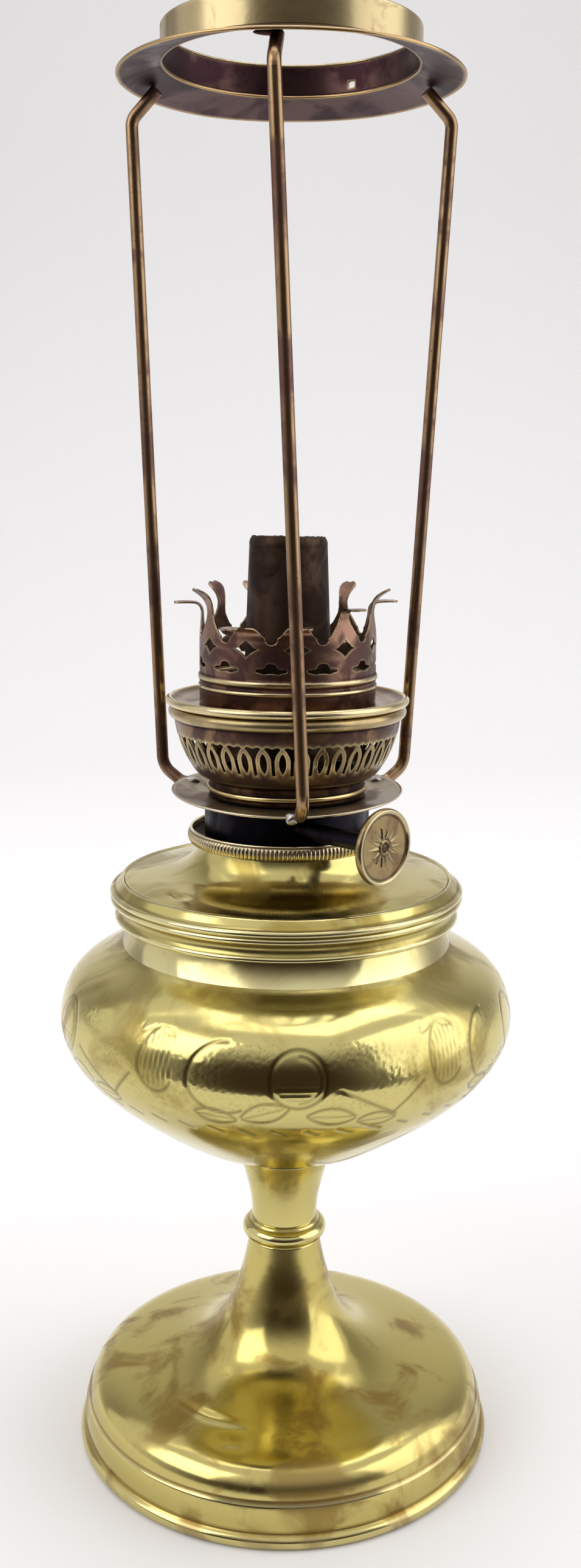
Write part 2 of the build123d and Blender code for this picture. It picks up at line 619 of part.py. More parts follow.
def crown():
    """Chimney holder: a ringed neck, a pierced band and a crown of bent petals."""
    outer = CHIMNEY_R + SHEET_WALL
    line = petal_line()
    inner = inset(line, SHEET_WALL)
    inner[0] = (CHIMNEY_R, line[0][1])
    bead = outer + CROWN_BEAD_OUT
    thin = BAND_Z - 4.1
    broad = BAND_Z - 1.2
    shell = turned(
        Polyline((CHIMNEY_R, CROWN_Z), (outer, CROWN_Z), (outer, thin - 0.6)),
        ThreePointArc((outer, thin - 0.6), (bead, thin), (outer, thin + 0.6)),
        Line((outer, thin + 0.6), (outer, broad - 0.9)),
        ThreePointArc((outer, broad - 0.9), (bead, broad), (outer, broad + 0.9)),
        Line((outer, broad + 0.9), line[0]), Spline(*line), Line(line[-1], inner[-1]),
        Spline(*reversed(inner)), Line(inner[0], (CHIMNEY_R, CROWN_Z)),
    )
    pitch = 2 * math.pi * outer / CROWN_PETALS
    base = pitch * (1 - PETAL_BASE) / 2
    tip = (pitch * (outer + PETAL_REACH) / outer - PETAL_TIP_W) / 2
    waist = PETAL_Z + 0.6 * PETAL_H
    top = PETAL_Z + 1.3 * PETAL_H
    gap = make_face(Polyline((-base, PETAL_Z + 1.5), (0, PETAL_Z), (base, PETAL_Z + 1.5), (tip, waist),
                             (tip + 1.2, top), (-tip - 1.2, top), (-tip, waist), close=True))
    gap = extrude(Plane.XZ * gap, 2 * CHIMNEY_R)
    eye = extrude(Plane.XZ * (Pos(0, BAND_Z + EYE_UP) * RegularPolygon(EYE_R, 4)), 2 * CHIMNEY_R)
    for k in range(CROWN_PETALS):
        step = k * 360 / CROWN_PETALS
        shell -= Rot(0, 0, CROWN_AZ + step + 180 / CROWN_PETALS) * gap
        shell -= Rot(0, 0, CROWN_AZ + step) * eye
    return shell


# ---- tripod ---------------------------------------------------------------------------
def saucer():
    """Thin dished ring that the tripod stands on the burner with."""
    bore = SPIGOT_R + LIFT_GAP
    z0, z1 = SAUCER_Z, SAUCER_Z + SAUCER_DISH
    flat = POT_R + 1.0
    return lathe([(bore, z0), (flat, z0), (SAUCER_R - 0.3, z1), (SAUCER_R, z1 + 0.4),
                  (SAUCER_R - 0.3, z1 + SAUCER_WALL), (flat, z0 + SAUCER_WALL), (bore, z0 + SAUCER_WALL)])


def flange_profile():
    """Conical flange that turns down from a flat seat under the collar."""
    bore = COLLAR_R - SHADE_COLLAR_WALL
    return [(bore, SEAT_Z), (COLLAR_R, SEAT_Z), (FLANGE_R - 0.3, RING_Z), (FLANGE_R, RING_Z + 0.3),
            (FLANGE_R - 0.2, RING_Z + FLANGE_WALL), (COLLAR_R, COLLAR_Z), (bore, COLLAR_Z)]


def shade_flange():
    return lathe(flange_profile())


def shade_collar():
    """Upright band that a shade or a globe's carrier slips over, with one square peep hole."""
    band = ring(COLLAR_R - SHADE_COLLAR_WALL, COLLAR_R, COLLAR_Z, COLLAR_Z + SHADE_COLLAR_H)
    hole = Box(PEEP_W, 4 * SHADE_COLLAR_WALL, PEEP_H)
    return band - Rot(0, 0, PEEP_AZ) * Pos(0, -COLLAR_R, COLLAR_Z + PEEP_UP) * hole


def leg(name):
    """One bent rod from the saucer's rim up to the flange's underside."""
    low_az, top_az = LEG_AZ[name]
    half = ROD_DIA / 2
    rim_z = SAUCER_Z + SAUCER_DISH + SAUCER_WALL / 2
    under_z = RING_Z + FLANGE_RISE * (FLANGE_R - LEG_END_R) / FLANGE_W
    foot_r = SAUCER_R - LEG_OVERLAP
    path = FilletPolyline(
        at(foot_r, low_az, rim_z), at(foot_r + LEG_FOOT, low_az, rim_z + 0.3),
        at(LEG_LOW_R, low_az, rim_z + LEG_LOW_RISE), at(LEG_TOP_R, top_az, RING_Z - LEG_DROP),
        at(LEG_END_R, top_az, under_z - half + 0.3), radius=list(LEG_BENDS))
    rod = sweep(Plane(path @ 0, z_dir=path % 0) * Circle(half), path=path)
    return rod - saucer() - shade_flange() - shade_collar()


PARTS = {
    "foot_shell": foot_shell, "tie_washer": tie_washer, "tie_nut": tie_nut, "tie_rod": tie_rod,
    "stem_bead": stem_bead, "upper_stem": upper_stem, "joint_ring": joint_ring,
    "tank_body": tank_body, "tank_rim": tank_rim, "tank_top_plate": tank_top_plate,
    "tank_collar": tank_collar, "burner_cup": burner_cup, "burner_pot": burner_pot,
    "base_plate": base_plate, "air_deck": air_deck, "flame_tube": flame_tube,
    "draught_tube": draught_tube, "wick": wick, "winder_housing": winder_housing,
    "winder_bracket": winder_bracket, "winder_shaft": winder_shaft,
    "wick_wheel_inner": lambda: wick_wheel(-WHEEL_AT), "wick_wheel_outer": lambda: wick_wheel(WHEEL_AT),
    "winder_knob": winder_knob, "basket": basket, "gallery_disc": gallery_disc, "crown": crown,
    "saucer": saucer, "leg_left": lambda: leg("leg_left"), "leg_front": lambda: leg("leg_front"),
    "leg_right": lambda: leg("leg_right"), "shade_flange": shade_flange, "shade_collar": shade_collar,
}

os.makedirs("parts", exist_ok=True)
for node, build in PARTS.items():
    export_step(build(), f"parts/{node}.step")
print(f"wrote {len(PARTS)} parts, top of the collar at z = {COLLAR_Z + SHADE_COLLAR_H:.1f}")
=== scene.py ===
# %% [markdown]
# # A pedestal paraffin lamp
# The lamp is spun and turned brass: a round foot, a trumpet stem and a wide tank, with a darker
# burner on top and a wire tripod that holds a shade ring. Nearly every piece is round, so nearly
# every piece here is a profile turned about one axis, worked out with numpy.
# The solids of the frame give each piece its place: this file only gives it its looks.

# %% The frame
import bmesh
import bpy
import json
import math
import numpy as np
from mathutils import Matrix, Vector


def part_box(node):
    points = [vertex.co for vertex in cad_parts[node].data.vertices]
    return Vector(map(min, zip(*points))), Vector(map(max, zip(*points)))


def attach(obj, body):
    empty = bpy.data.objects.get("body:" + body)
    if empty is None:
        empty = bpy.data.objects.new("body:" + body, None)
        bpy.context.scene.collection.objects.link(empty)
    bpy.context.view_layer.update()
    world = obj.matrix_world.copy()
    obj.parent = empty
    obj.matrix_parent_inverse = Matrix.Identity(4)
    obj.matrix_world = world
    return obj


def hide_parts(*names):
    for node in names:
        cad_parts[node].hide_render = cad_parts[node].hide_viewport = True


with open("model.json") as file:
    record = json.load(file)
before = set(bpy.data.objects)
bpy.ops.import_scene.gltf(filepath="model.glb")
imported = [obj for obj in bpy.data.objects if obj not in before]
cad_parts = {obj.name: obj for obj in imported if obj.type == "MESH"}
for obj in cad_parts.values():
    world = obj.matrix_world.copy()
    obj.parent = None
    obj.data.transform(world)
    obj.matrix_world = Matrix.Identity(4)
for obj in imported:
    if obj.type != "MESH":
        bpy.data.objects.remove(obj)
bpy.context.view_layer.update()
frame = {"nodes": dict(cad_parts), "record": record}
MM = 0.001

# %% [markdown]
# ## Camera
# The lamp is seen from 46 cm away, a little above its burner, looking down by 11 degrees. A short
# lens close by makes the foot look round and shows the shade ring from below.

# %% Camera
CAMERA_DISTANCE = 0.460
CAMERA_HEIGHT = 0.3084
CAMERA_DOWN = 11.12        # degrees
CAMERA_ROLL = -0.375       # degrees
CAMERA_LENS = 34.6         # mm, on a 36 mm sensor along the picture's height
CAMERA_ASIDE = 0.0005

camera_data = bpy.data.cameras.new("camera")
camera_data.lens = CAMERA_LENS
camera_data.sensor_width = 36.0
camera_data.clip_start = 0.01
camera = bpy.data.objects.new("camera", camera_data)
camera.location = (CAMERA_ASIDE, -CAMERA_DISTANCE, CAMERA_HEIGHT)
camera.rotation_euler = (math.radians(90 - CAMERA_DOWN), math.radians(CAMERA_ROLL), 0)
bpy.context.scene.collection.objects.link(camera)
bpy.context.scene.camera = camera
bpy.context.scene.view_settings.view_transform = "Standard"
print("camera at", tuple(round(c, 3) for c in camera.location))

# %% [markdown]
# ## Turning a profile
# A lathe moves one outline round an axis. Blender's Spin or Screw could do that, but numpy gives
# every point's radius, height and angle, so a later step can dent, engrave or mark the surface.
# The outline is a list of (radius, height) points in millimetres that runs up the outside and down
# the inside, so its right-hand side is always air. Curves between a few chosen points are natural
# cubics, and beads are circular arcs.

# %% Profile helpers
def smooth(points, n):
    """A curve through the points. Each coordinate is a piecewise cubic in chord length whose second
    derivatives come from the usual tridiagonal system with free ends, read at n even steps."""
    p = np.asarray(points, float)
    t = np.concatenate([[0], np.cumsum(np.linalg.norm(np.diff(p, axis=0), axis=1))])
    h = np.diff(t)
    system, right = np.eye(len(p)), np.zeros_like(p)
    i = np.arange(1, len(p) - 1)
    system[i, i - 1], system[i, i], system[i, i + 1] = h[:-1], 2 * (h[:-1] + h[1:]), h[1:]
    slope = np.diff(p, axis=0) / h[:, None]
    right[1:-1] = 6 * np.diff(slope, axis=0)
    bend = np.linalg.solve(system, right)
    x = np.linspace(0, t[-1], n)
    k = np.clip(np.searchsorted(t, x, side="right") - 1, 0, len(h) - 1)
    a, b, s = (t[k + 1] - x)[:, None], (x - t[k])[:, None], h[k][:, None]
    cubic = (bend[k] * a ** 3 + bend[k + 1] * b ** 3) / (6 * s)
    return cubic + (p[k] / s - bend[k] * s / 6) * a + (p[k + 1] / s - bend[k + 1] * s / 6) * b


def arc(a, b, bulge, n=9):
    """A circular arc from a to b that stands bulge out to the right of its run. Its half angle is
    twice the arctangent of 2 bulge over the chord."""
    a, b = np.asarray(a, float), np.asarray(b, float)
    chord = np.linalg.norm(b - a)
    run = (b - a) / chord
    out = np.array([run[1], -run[0]])
    half = 2 * math.atan(2 * abs(bulge) / chord)
    radius = chord / (2 * math.sin(half))
    t = np.linspace(-half, half, n)[:, None]
    lift = (radius * np.cos(t) + abs(bulge) - radius) * math.copysign(1, bulge)
    return (a + b) / 2 + radius * np.sin(t) * run + lift * out


def inset(line, wall):
    """The line set in by the wall, to the left of its run."""
    run = np.gradient(np.asarray(line, float), axis=0)
    run /= np.linalg.norm(run, axis=1)[:, None]
    return line + wall * np.stack([-run[:, 1], run[:, 0]], -1)


def join(*parts):
    """One outline from curves and single points, without doubled points."""
    rows = np.concatenate([np.atleast_2d(np.asarray(p, float)) for p in parts])
    keep = np.linalg.norm(np.diff(rows, axis=0, prepend=rows[:1] - 1), axis=1) > 1e-4
    return rows[keep]


def fill(outline, step):
    """The outline with extra points, so that no two are further apart than the step."""
    gaps = np.linalg.norm(np.diff(outline, axis=0), axis=1)
    counts = np.maximum(np.ceil(gaps / step).astype(int), 1)
    k = np.repeat(np.arange(len(gaps)), counts)
    share = np.concatenate([np.arange(c) / c for c in counts])[:, None]
    return np.concatenate([outline[k] + share * (outline[k + 1] - outline[k]), outline[-1:]])


print("a bead's arc peaks at", arc((0, 0), (0, 2), 0.5)[4].round(3))

# %% [markdown]
# Worn metal is brightest where it is touched and cleaned, on the outward corners, and darkest in the
# grooves. The outline already knows both: a point that stands out from the middle of its two
# neighbours is a corner, one that lies behind it is a groove. Each mesh stores the two as attributes.

# %% Mesh helpers
def corner_and_groove(outline, closed, reach=0.7):
    """How far each point stands out from the middle of the points a reach before and after it along
    the outline, as a share of that reach: positive parts are corners, negative parts grooves."""
    loop = np.vstack([outline, outline[:1]]) if closed else outline
    s = np.concatenate([[0], np.cumsum(np.linalg.norm(np.diff(loop, axis=0), axis=1))])
    here = s[:len(outline)]

    def at(x):
        x = np.mod(x, s[-1]) if closed else np.clip(x, 0, s[-1])
        return np.stack([np.interp(x, s, loop[:, 0]), np.interp(x, s, loop[:, 1])], -1)

    before, after = at(here - reach), at(here + reach)
    run = after - before
    run /= np.linalg.norm(run, axis=1)[:, None] + 1e-9
    out = np.stack([run[:, 1], -run[:, 0]], -1)
    stand = ((outline - (before + after) / 2) * out).sum(1) / reach
    return np.clip(2.5 * stand, 0, 1), np.clip(-2.5 * stand, 0, 1)


def new_object(name, co, faces, marks=None):
    """A mesh object at the origin from points in millimetres, faces, and one value per point for
    each named attribute."""
    mesh = bpy.data.meshes.new(name)
    faces = faces if isinstance(faces, list) else faces.tolist()
    mesh.from_pydata((np.asarray(co, float) * MM).tolist(), [], faces)
    mesh.polygons.foreach_set("use_smooth", np.full(len(mesh.polygons), True))
    for key, values in (marks or {}).items():
        layer = mesh.attributes.new(key, "FLOAT", "POINT")
        layer.data.foreach_set("value", np.asarray(values, np.float32))
    mesh.update()
    obj = bpy.data.objects.new(name, mesh)
    bpy.context.scene.collection.objects.link(obj)
    return obj


def grid_faces(rows, columns, close_rows, close_columns):
    """Four-cornered faces of a grid of points whose edges may join up."""
    r = np.arange(rows if close_rows else rows - 1)[:, None]
    c = np.arange(columns if close_columns else columns - 1)[None, :]
    r1, c1 = (r + 1) % rows, (c + 1) % columns
    quads = [r * columns + c, r * columns + c1, r1 * columns + c1, r1 * columns + c]
    return np.stack([np.broadcast_to(q, (r.shape[0], c.shape[1])) for q in quads], -1).reshape(-1, 4)


def lathe(name, outline, turns=240, closed=True, shape=None, extra=None, place=None):
    """The outline turned about the axis: point (v, u) is (r(v) cos u, r(v) sin u, z(v)). A shape
    function may move radius and height by angle, and extra gives more attributes. An open outline
    starts and ends on the axis."""
    outline = np.asarray(outline, float)
    u = np.linspace(0, 2 * np.pi, turns, endpoint=False)[None, :]
    r = np.broadcast_to(outline[:, :1], (len(outline), turns))
    z = np.broadcast_to(outline[:, 1:], (len(outline), turns))
    corner, groove = corner_and_groove(outline, closed)
    marks = {"corner": np.repeat(corner, turns), "groove": np.repeat(groove, turns)}
    if extra:
        marks.update({key: np.ravel(value) for key, value in extra(u, r, z).items()})
    if shape:
        r, z = shape(u, r, z)
    co = np.stack([r * np.cos(u), r * np.sin(u), z + 0 * u], -1).reshape(-1, 3)
    if place is not None:
        co = co @ place[:3, :3].T + place[:3, 3]
    faces = grid_faces(len(outline), turns, closed, True)
    obj = new_object(name, co, faces, marks)
    if not closed:
        merge_poles(obj)
    print(f"{name}: {len(faces)} faces")
    return obj


def merge_poles(obj):
    """Join the points that lie on one spot, as the grid's rows do at the axis."""
    bm = bmesh.new()
    bm.from_mesh(obj.data)
    bmesh.ops.remove_doubles(bm, verts=bm.verts, dist=1e-7)
    bm.to_mesh(obj.data)
    bm.free()
    obj.data.update()


def span(node):
    """Lowest height, highest height and outside radius of a round node, in millimetres."""
    low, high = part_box(node)
    return low.z / MM, high.z / MM, (high.x - low.x) / 2 / MM


print("the tank's lowest, highest and radius:", [round(v, 1) for v in span("tank_body")])

# %% [markdown]
# ## Materials
# All the metal here is brass or a relative, so the materials share one recipe: a clean colour, a
# dull colour in soft clouds, a dark colour in spots and grooves, and a bright colour on worn
# corners. Clouds are a noise of a few centimetres, spots one of a few millimetres. The roughness
# and a very shallow bump follow the same noises, because tarnish is matt and old sheet is wavy.

# %% Colour and node helpers
def linear(code, alpha=1.0):
    """An sRGB hex colour as linear numbers."""
    c = np.array([int(code[i:i + 2], 16) for i in (1, 3, 5)]) / 255
    c = np.where(c <= 0.04045, c / 12.92, ((c + 0.055) / 1.055) ** 2.4)
    return (*c.tolist(), alpha)


def node(tree, kind, inputs=None, **settings):
    """Add one node. Settings are its own, and each input is a value or a linked output."""
    made = tree.nodes.new(kind)
    for key, value in settings.items():
        setattr(made, key, value)
    for key, value in (inputs or {}).items():
        if isinstance(value, bpy.types.NodeSocket):
            tree.links.new(value, made.inputs[key])
        else:
            made.inputs[key].default_value = value
    return made


SOFT_STEP = {"interpolation_type": "SMOOTHSTEP"}     # for a Map Range from 0 to 1
COLOURS = {"data_type": "RGBA"}                      # for a Mix: 0 is the share, 6 and 7 the colours
WAVE_MM = 9.0                                        # hand-spun sheet is wavy about this far apart
WAVE_DEEP, GRIT_DEEP = 0.6 * MM, 0.2 * MM


def patina(name, clean, dull, dark, bright, clouds=0.5, spots=0.3, corners=0.6, grooves=0.8,
           polish=0.16, matt=0.42, cloud_mm=28.0, spot_mm=3.0, wave=0.12, grit=0.04):
    """Aged metal. Clouds, spots, corners and grooves are shares from 0 to 1: how much of the surface
    is dull or spotted, and how bright its corners and how dark its grooves are. Polish and matt are
    the roughness of the clean and of the dull metal."""
    material = bpy.data.materials.new(name)
    material.use_nodes = True
    tree = material.node_tree
    tree.nodes.clear()
    place = node(tree, "ShaderNodeTexCoord").outputs["Object"]
    cloud = node(tree, "ShaderNodeTexNoise", {"Vector": place, "Scale": 1 / (cloud_mm * MM), "Detail": 4.0,
                                              "Roughness": 0.55, "Distortion": 0.6}).outputs[0]
    spot = node(tree, "ShaderNodeTexNoise", {"Vector": place, "Scale": 1 / (spot_mm * MM), "Detail": 6.0,
                                             "Roughness": 0.7}).outputs[0]
    wavy = node(tree, "ShaderNodeTexNoise", {"Vector": place, "Scale": 1 / (WAVE_MM * MM),
                                             "Detail": 2.0}).outputs[0]
    corner = node(tree, "ShaderNodeAttribute", attribute_name="corner").outputs["Fac"]
    groove = node(tree, "ShaderNodeAttribute", attribute_name="groove").outputs["Fac"]
    cloudy = node(tree, "ShaderNodeMapRange", {0: cloud, 1: 0.62 - 0.3 * clouds, 2: 0.78 - 0.3 * clouds},
                  **SOFT_STEP).outputs[0]
    spotty = node(tree, "ShaderNodeMapRange", {0: spot, 1: 0.68 - 0.2 * spots, 2: 0.86 - 0.2 * spots},
                  **SOFT_STEP).outputs[0]
    worn = node(tree, "ShaderNodeMath", {0: corner, 1: corners}, operation="MULTIPLY").outputs[0]
    dirt = node(tree, "ShaderNodeMath", {0: groove, 1: grooves}, operation="MULTIPLY").outputs[0]
    colour = linear(clean)
    for share, layer in ((cloudy, dull), (spotty, dark), (dirt, dark), (worn, bright)):
        colour = node(tree, "ShaderNodeMix", {0: share, 6: colour, 7: linear(layer)}, **COLOURS).outputs[2]
    rough = node(tree, "ShaderNodeMapRange", {0: cloudy, 3: polish, 4: matt}).outputs[0]
    for share, change in ((spotty, 0.18), (dirt, 0.25), (worn, -0.14)):
        rough = node(tree, "ShaderNodeMath", {0: share, 1: change, 2: rough},
                     operation="MULTIPLY_ADD").outputs[0]
    bump = node(tree, "ShaderNodeBump", {"Height": wavy, "Strength": wave, "Distance": WAVE_DEEP}).outputs[0]
    bump = node(tree, "ShaderNodeBump", {"Height": spot, "Normal": bump, "Strength": grit,
                                         "Distance": GRIT_DEEP}).outputs[0]
    shader = node(tree, "ShaderNodeBsdfPrincipled", {"Metallic": 1.0, "Base Color": colour,
                                                     "Roughness": rough, "Normal": bump})
    node(tree, "ShaderNodeOutputMaterial", {"Surface": shader.outputs[0]})
    return material


def paint(obj, material):
    """Give an object one material in all its slots."""
    if not obj.data.materials:
        obj.data.materials.append(material)
    for i in range(len(obj.data.materials)):
        obj.data.materials[i] = material


def fit(obj, body, material, slot, *nodes):
    """Paint a finished piece, hide the nodes it stands for, and hang it on its body."""
    paint(obj, material)
    if nodes:
        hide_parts(*nodes)
    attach(obj, body)
    return obj


print("pale brass as linear numbers:", [round(c, 3) for c in linear("#cfc27c")[:3]])

# %% [markdown]
# The lamp's maker used one metal, but each piece has aged in its own way. What is polished by hand
# is pale and sharp, what sits in the flame's heat is brown to black, and what is never touched is
# dull. Each material below is the same recipe with the colours, the polish and the spots of one
# of these finishes.

# %% The metals
# polished sheet: pale yellow-green, with sharp reflections and faint clouds of tarnish
spun_brass = patina("polished_spun_brass", "#cfc27c", "#a3914e", "#5f4821", "#ece6bd",
                    clouds=0.45, spots=0.14, corners=0.5, grooves=0.75, polish=0.15, matt=0.32)
# the same sheet, handled more: a little darker, with more brown spots and softer reflections
foot_brass = patina("handled_spun_brass", "#c6b76e", "#9a8244", "#745224", "#ece6bd",
                    clouds=0.45, spots=0.18, corners=0.5, grooves=0.75, polish=0.16, matt=0.34, cloud_mm=22.0)
# never polished: red-brown, and pale only on the beads that fingers rub
burner_brass = patina("tarnished_burner_brass", "#7b6148", "#4a3431", "#1c1013", "#d6c38e",
                      clouds=0.7, spots=0.35, corners=1.0, grooves=0.9, polish=0.26, matt=0.4, cloud_mm=14.0)
# painted reflection: greyer and lighter than the basket below it, standing in for the pale reflection on the
# disc's top
disc_brass_painted_reflection = patina("disc_brass_with_painted_reflection", "#a28b74", "#7d6653", "#32231f", "#e6d6a4",
                    clouds=0.6, spots=0.35, corners=1.0, grooves=1.0, polish=0.24, matt=0.38, cloud_mm=12.0)
# thin springy sheet with a reddish tarnish, and bright cut edges
crown_brass = patina("handled_crown_brass", "#8a6a58", "#573f3a", "#271a1a", "#ddcf9f",
                     clouds=0.6, spots=0.4, corners=1.0, grooves=0.9, polish=0.26, matt=0.42, cloud_mm=12.0)
# the reeds are gripped to unscrew the burner, so they shine against dark hollows
cup_brass = patina("milled_cup_brass", "#a3906c", "#7d6854", "#2b211c", "#ece2bd",
                   clouds=0.5, spots=0.3, corners=1.0, grooves=0.9, polish=0.24, matt=0.4, cloud_mm=10.0)
# sheet that the flame has blackened: brown-black, matt and blotchy
burnt_brass = patina("heat_blackened_brass", "#4a3a30", "#33261f", "#1d1512", "#5c4a3a",
                     clouds=0.6, spots=0.5, corners=0.3, polish=0.42, matt=0.62, cloud_mm=16.0)
# worn tin over brass: grey-beige and hardly shiny
dull_brass = patina("tinned_dull_brass", "#a89a80", "#8a7464", "#5d4a3d", "#d6cdb4",
                    clouds=0.5, spots=0.35, corners=0.7, polish=0.34, matt=0.5, cloud_mm=18.0)
# drawn rod with an even brown patina: one long soft highlight
rod_brass = patina("brown_rod_brass", "#9c8060", "#6b5044", "#33211f", "#d2b98a",
                   clouds=0.6, spots=0.45, corners=0.0, polish=0.26, matt=0.42, cloud_mm=22.0, spot_mm=2.0)
# heated by the chimney: purple-brown, with a thin bright edge
ring_brass = patina("dark_ring_brass", "#513b38", "#382428", "#201215", "#b79a6d",
                    clouds=0.6, spots=0.4, corners=0.9, polish=0.3, matt=0.46, cloud_mm=20.0)
# a pressed die pattern, rubbed bright on the rays and dark in the field
button_brass = patina("pressed_button_brass", "#97835c", "#7d684e", "#46372a", "#c4b992",
                      clouds=0.5, spots=0.35, corners=0.8, polish=0.24, matt=0.4, cloud_mm=8.0, spot_mm=1.2)
# grey and half dull, for the parts that hold the lamp together
plain_steel = patina("plain_steel", "#9a9894", "#77726b", "#4b4038", "#c9c9c6",
                     clouds=0.5, spots=0.4, polish=0.3, matt=0.45)
# less polished than the tank: pale, slightly grey brass with soft reflections
band_brass = patina("brass_of_the_collar", "#b5a47c", "#8c7b58", "#594530", "#d9cfa4",
                    clouds=0.5, spots=0.25, corners=0.5, polish=0.24, matt=0.36, cloud_mm=12.0)
# nearly black brass for the burner's lower parts, with only a broad faint shine
near_black_brass = patina("near_black_pot_brass", "#1d1a20", "#15131b", "#0c0d14", "#3a3330",
              clouds=0.5, spots=0.4, corners=0.5, polish=0.36, matt=0.6, cloud_mm=10.0)
# soft solder: light grey, smooth and a little lumpy
solder = patina("grey_solder", "#b9b2ad", "#8f8782", "#5e5550", "#dcd8d4",
                clouds=0.5, spots=0.3, polish=0.28, matt=0.42, cloud_mm=4.0, spot_mm=1.0)
print("materials:", len(bpy.data.materials))

# %% [markdown]
# ## The foot
# One sheet of brass spun over a former: a rolled rim to stand on, an upright skirt between two
# grooves, a low dome and a long trumpet that narrows to the stem. The solid could be kept, but its
# mouldings are plain, so the outline is drawn again on the solid's own sizes with rounder ones.
# Years of handling have left shallow creases on the dome: each is a bell curve taken off its height.

# %% Foot
SHEET = 0.9          # thickness of the foot, the stem and the tank
ROD_HOLE = 3.3       # radius of the hole for the tie rod


def dent(u, v, r, azimuth, height, wide, tall, depth):
    """How far a soft dent pulls the surface in: depth times a bell curve of the distance round the
    lamp, at radius r, and of the distance of v, a height or a radius, from the dent's own."""
    a = math.radians(azimuth - 90)
    across = r * np.angle(np.exp(1j * (u - a)))
    return depth * np.exp(-(across / wide) ** 2 - ((v - height) / tall) ** 2)


def foot_outline():
    """Rim, groove, skirt, groove, dome and trumpet, then back down the inside."""
    _, top, rim = span("foot_shell")
    waist = 11.4
    shoulder = np.array([rim - 3.0, 15.0])
    shares = [(0, 0), (0.02, 0.06), (0.065, 0.115), (0.19, 0.165), (0.38, 0.205), (0.57, 0.255),
              (0.72, 0.335), (0.835, 0.46), (0.91, 0.63), (0.965, 0.82), (1.0, 1.0)]
    dome = smooth([(shoulder[0] - s * (shoulder[0] - waist), shoulder[1] + u * (top - shoulder[1]))
                   for s, u in shares], 90)
    inner = inset(dome, SHEET)[::-1]
    inner_r = shoulder[0] - SHEET
    return fill(join(
        (inner_r, 0), arc((rim - 1.2, 0), (rim - 0.9, 4.4), 1.5, 12), (rim - 1.5, 5.0),
        arc((rim - 1.4, 5.6), (rim - 2.1, 13.4), 0.5, 14), (rim - 2.9, 14.1), dome,
        (ROD_HOLE, top), (ROD_HOLE, top - SHEET), (waist - SHEET, top - SHEET),
        inner[3:], (inner_r, 12), (inner_r, 0)), 1.6)[:-1]


def foot_shape(u, r, z):
    """A sharp crease, a short one beside it and a broad shallow one, on the dome only."""
    pull = (dent(u, r, 55, azimuth=-32, height=45, wide=13, tall=1.7, depth=1.0)
            + dent(u, r, 55, azimuth=-18, height=52, wide=5, tall=2.5, depth=0.5)
            + dent(u, r, 55, azimuth=20, height=50, wide=16, tall=5, depth=0.35))
    on_dome = (z > 16) & (z < 40)
    return r, z - np.where(on_dome, pull, 0)


foot = lathe("foot", foot_outline(), turns=360, shape=foot_shape)
fit(foot, "lamp", foot_brass, "brass", "foot_shell")

# %% [markdown]
# ## The stem
# A solid turned bead, a short trumpet that opens upwards, and a half-round ring under the tank.
# They are three pieces on the real lamp, threaded on one rod, so they are three outlines here too,
# and the fine dark lines where they meet come by themselves.

# %% Stem
def stem_bead_outline():
    """A drilled disc whose edge is one arc, with a small step on top."""
    low, high, wide = span("stem_bead")
    return fill(join((ROD_HOLE, low), (11.5, low), arc((11.7, low), (11.6, high - 0.9), wide - 11.6, 16),
                     (11.3, high - 0.5), (11.2, high), (ROD_HOLE, high), (ROD_HOLE, low)), 1.5)[:-1]


def upper_stem_outline():
    """One cubic that is steep at the neck and flares to the top, and the same line set inwards."""
    low, high, wide = span("upper_stem")
    neck = 10.5
    shares = ((0, 0), (0.03, 0.18), (0.15, 0.38), (0.38, 0.6), (0.7, 0.83), (1.0, 1.0))
    line = smooth([(neck + g * (wide - neck), low + u * (high - low)) for g, u in shares], 40)
    inner = line - (SHEET, 0)
    return join(line, inner[::-1])


def joint_ring_outline():
    """A drilled disc with a half-round edge."""
    low, high, wide = span("joint_ring")
    round_edge = arc((wide - 0.8, low), (wide - 0.8, high), 0.8, 9)
    return fill(join((ROD_HOLE, low), round_edge, (ROD_HOLE, high), (ROD_HOLE, low)), 2)[:-1]


bead = lathe("stem_bead_turned", stem_bead_outline(), turns=160)
fit(bead, "lamp", spun_brass, "brass", "stem_bead")
stem = lathe("upper_stem_spun", upper_stem_outline(), turns=160)
fit(stem, "lamp", spun_brass, "brass", "upper_stem")
ring = lathe("joint_ring_turned", joint_ring_outline(), turns=160)
fit(ring, "lamp", spun_brass, "brass", "joint_ring")

# %% [markdown]
# ## The tank and its engraving
# The belly is spun thin and then cut by hand with a graver: round flowers, striped buds on straight
# stems, pointed leaves, and a stippled ground between them. Each motif here is a distance on the
# unrolled belly, and a cut is a small valley in the surface wherever that distance is near zero.
# A bump in the material would be easier, but real cuts catch the light from every side, and they
# stay when the mesh is used without its material. The grid is half a millimetre fine across the
# engraved band and coarse elsewhere.

# %% Engraving distances
def segment(x, y, x0, y0, x1, y1):
    """Distance to a straight cut: to the nearest point between its two ends."""
    dx, dy = x1 - x0, y1 - y0
    t = np.clip(((x - x0) * dx + (y - y0) * dy) / (dx * dx + dy * dy), 0, 1)
    return np.hypot(x - x0 - t * dx, y - y0 - t * dy)


def oval(x, y, cx, cy, wide, tall, tilt=0.0):
    """How far outside a tilted oval: the length of (a / wide, b / tall), less 1, times the shorter
    half. It is zero on the outline and negative inside. Also gives a and b, the oval's own axes."""
    c, s = math.cos(math.radians(tilt)), math.sin(math.radians(tilt))
    a, b = (x - cx) * c + (y - cy) * s, -(x - cx) * s + (y - cy) * c
    k = np.hypot(a / wide, b / tall)
    return (k - 1) * min(wide, tall), a, b


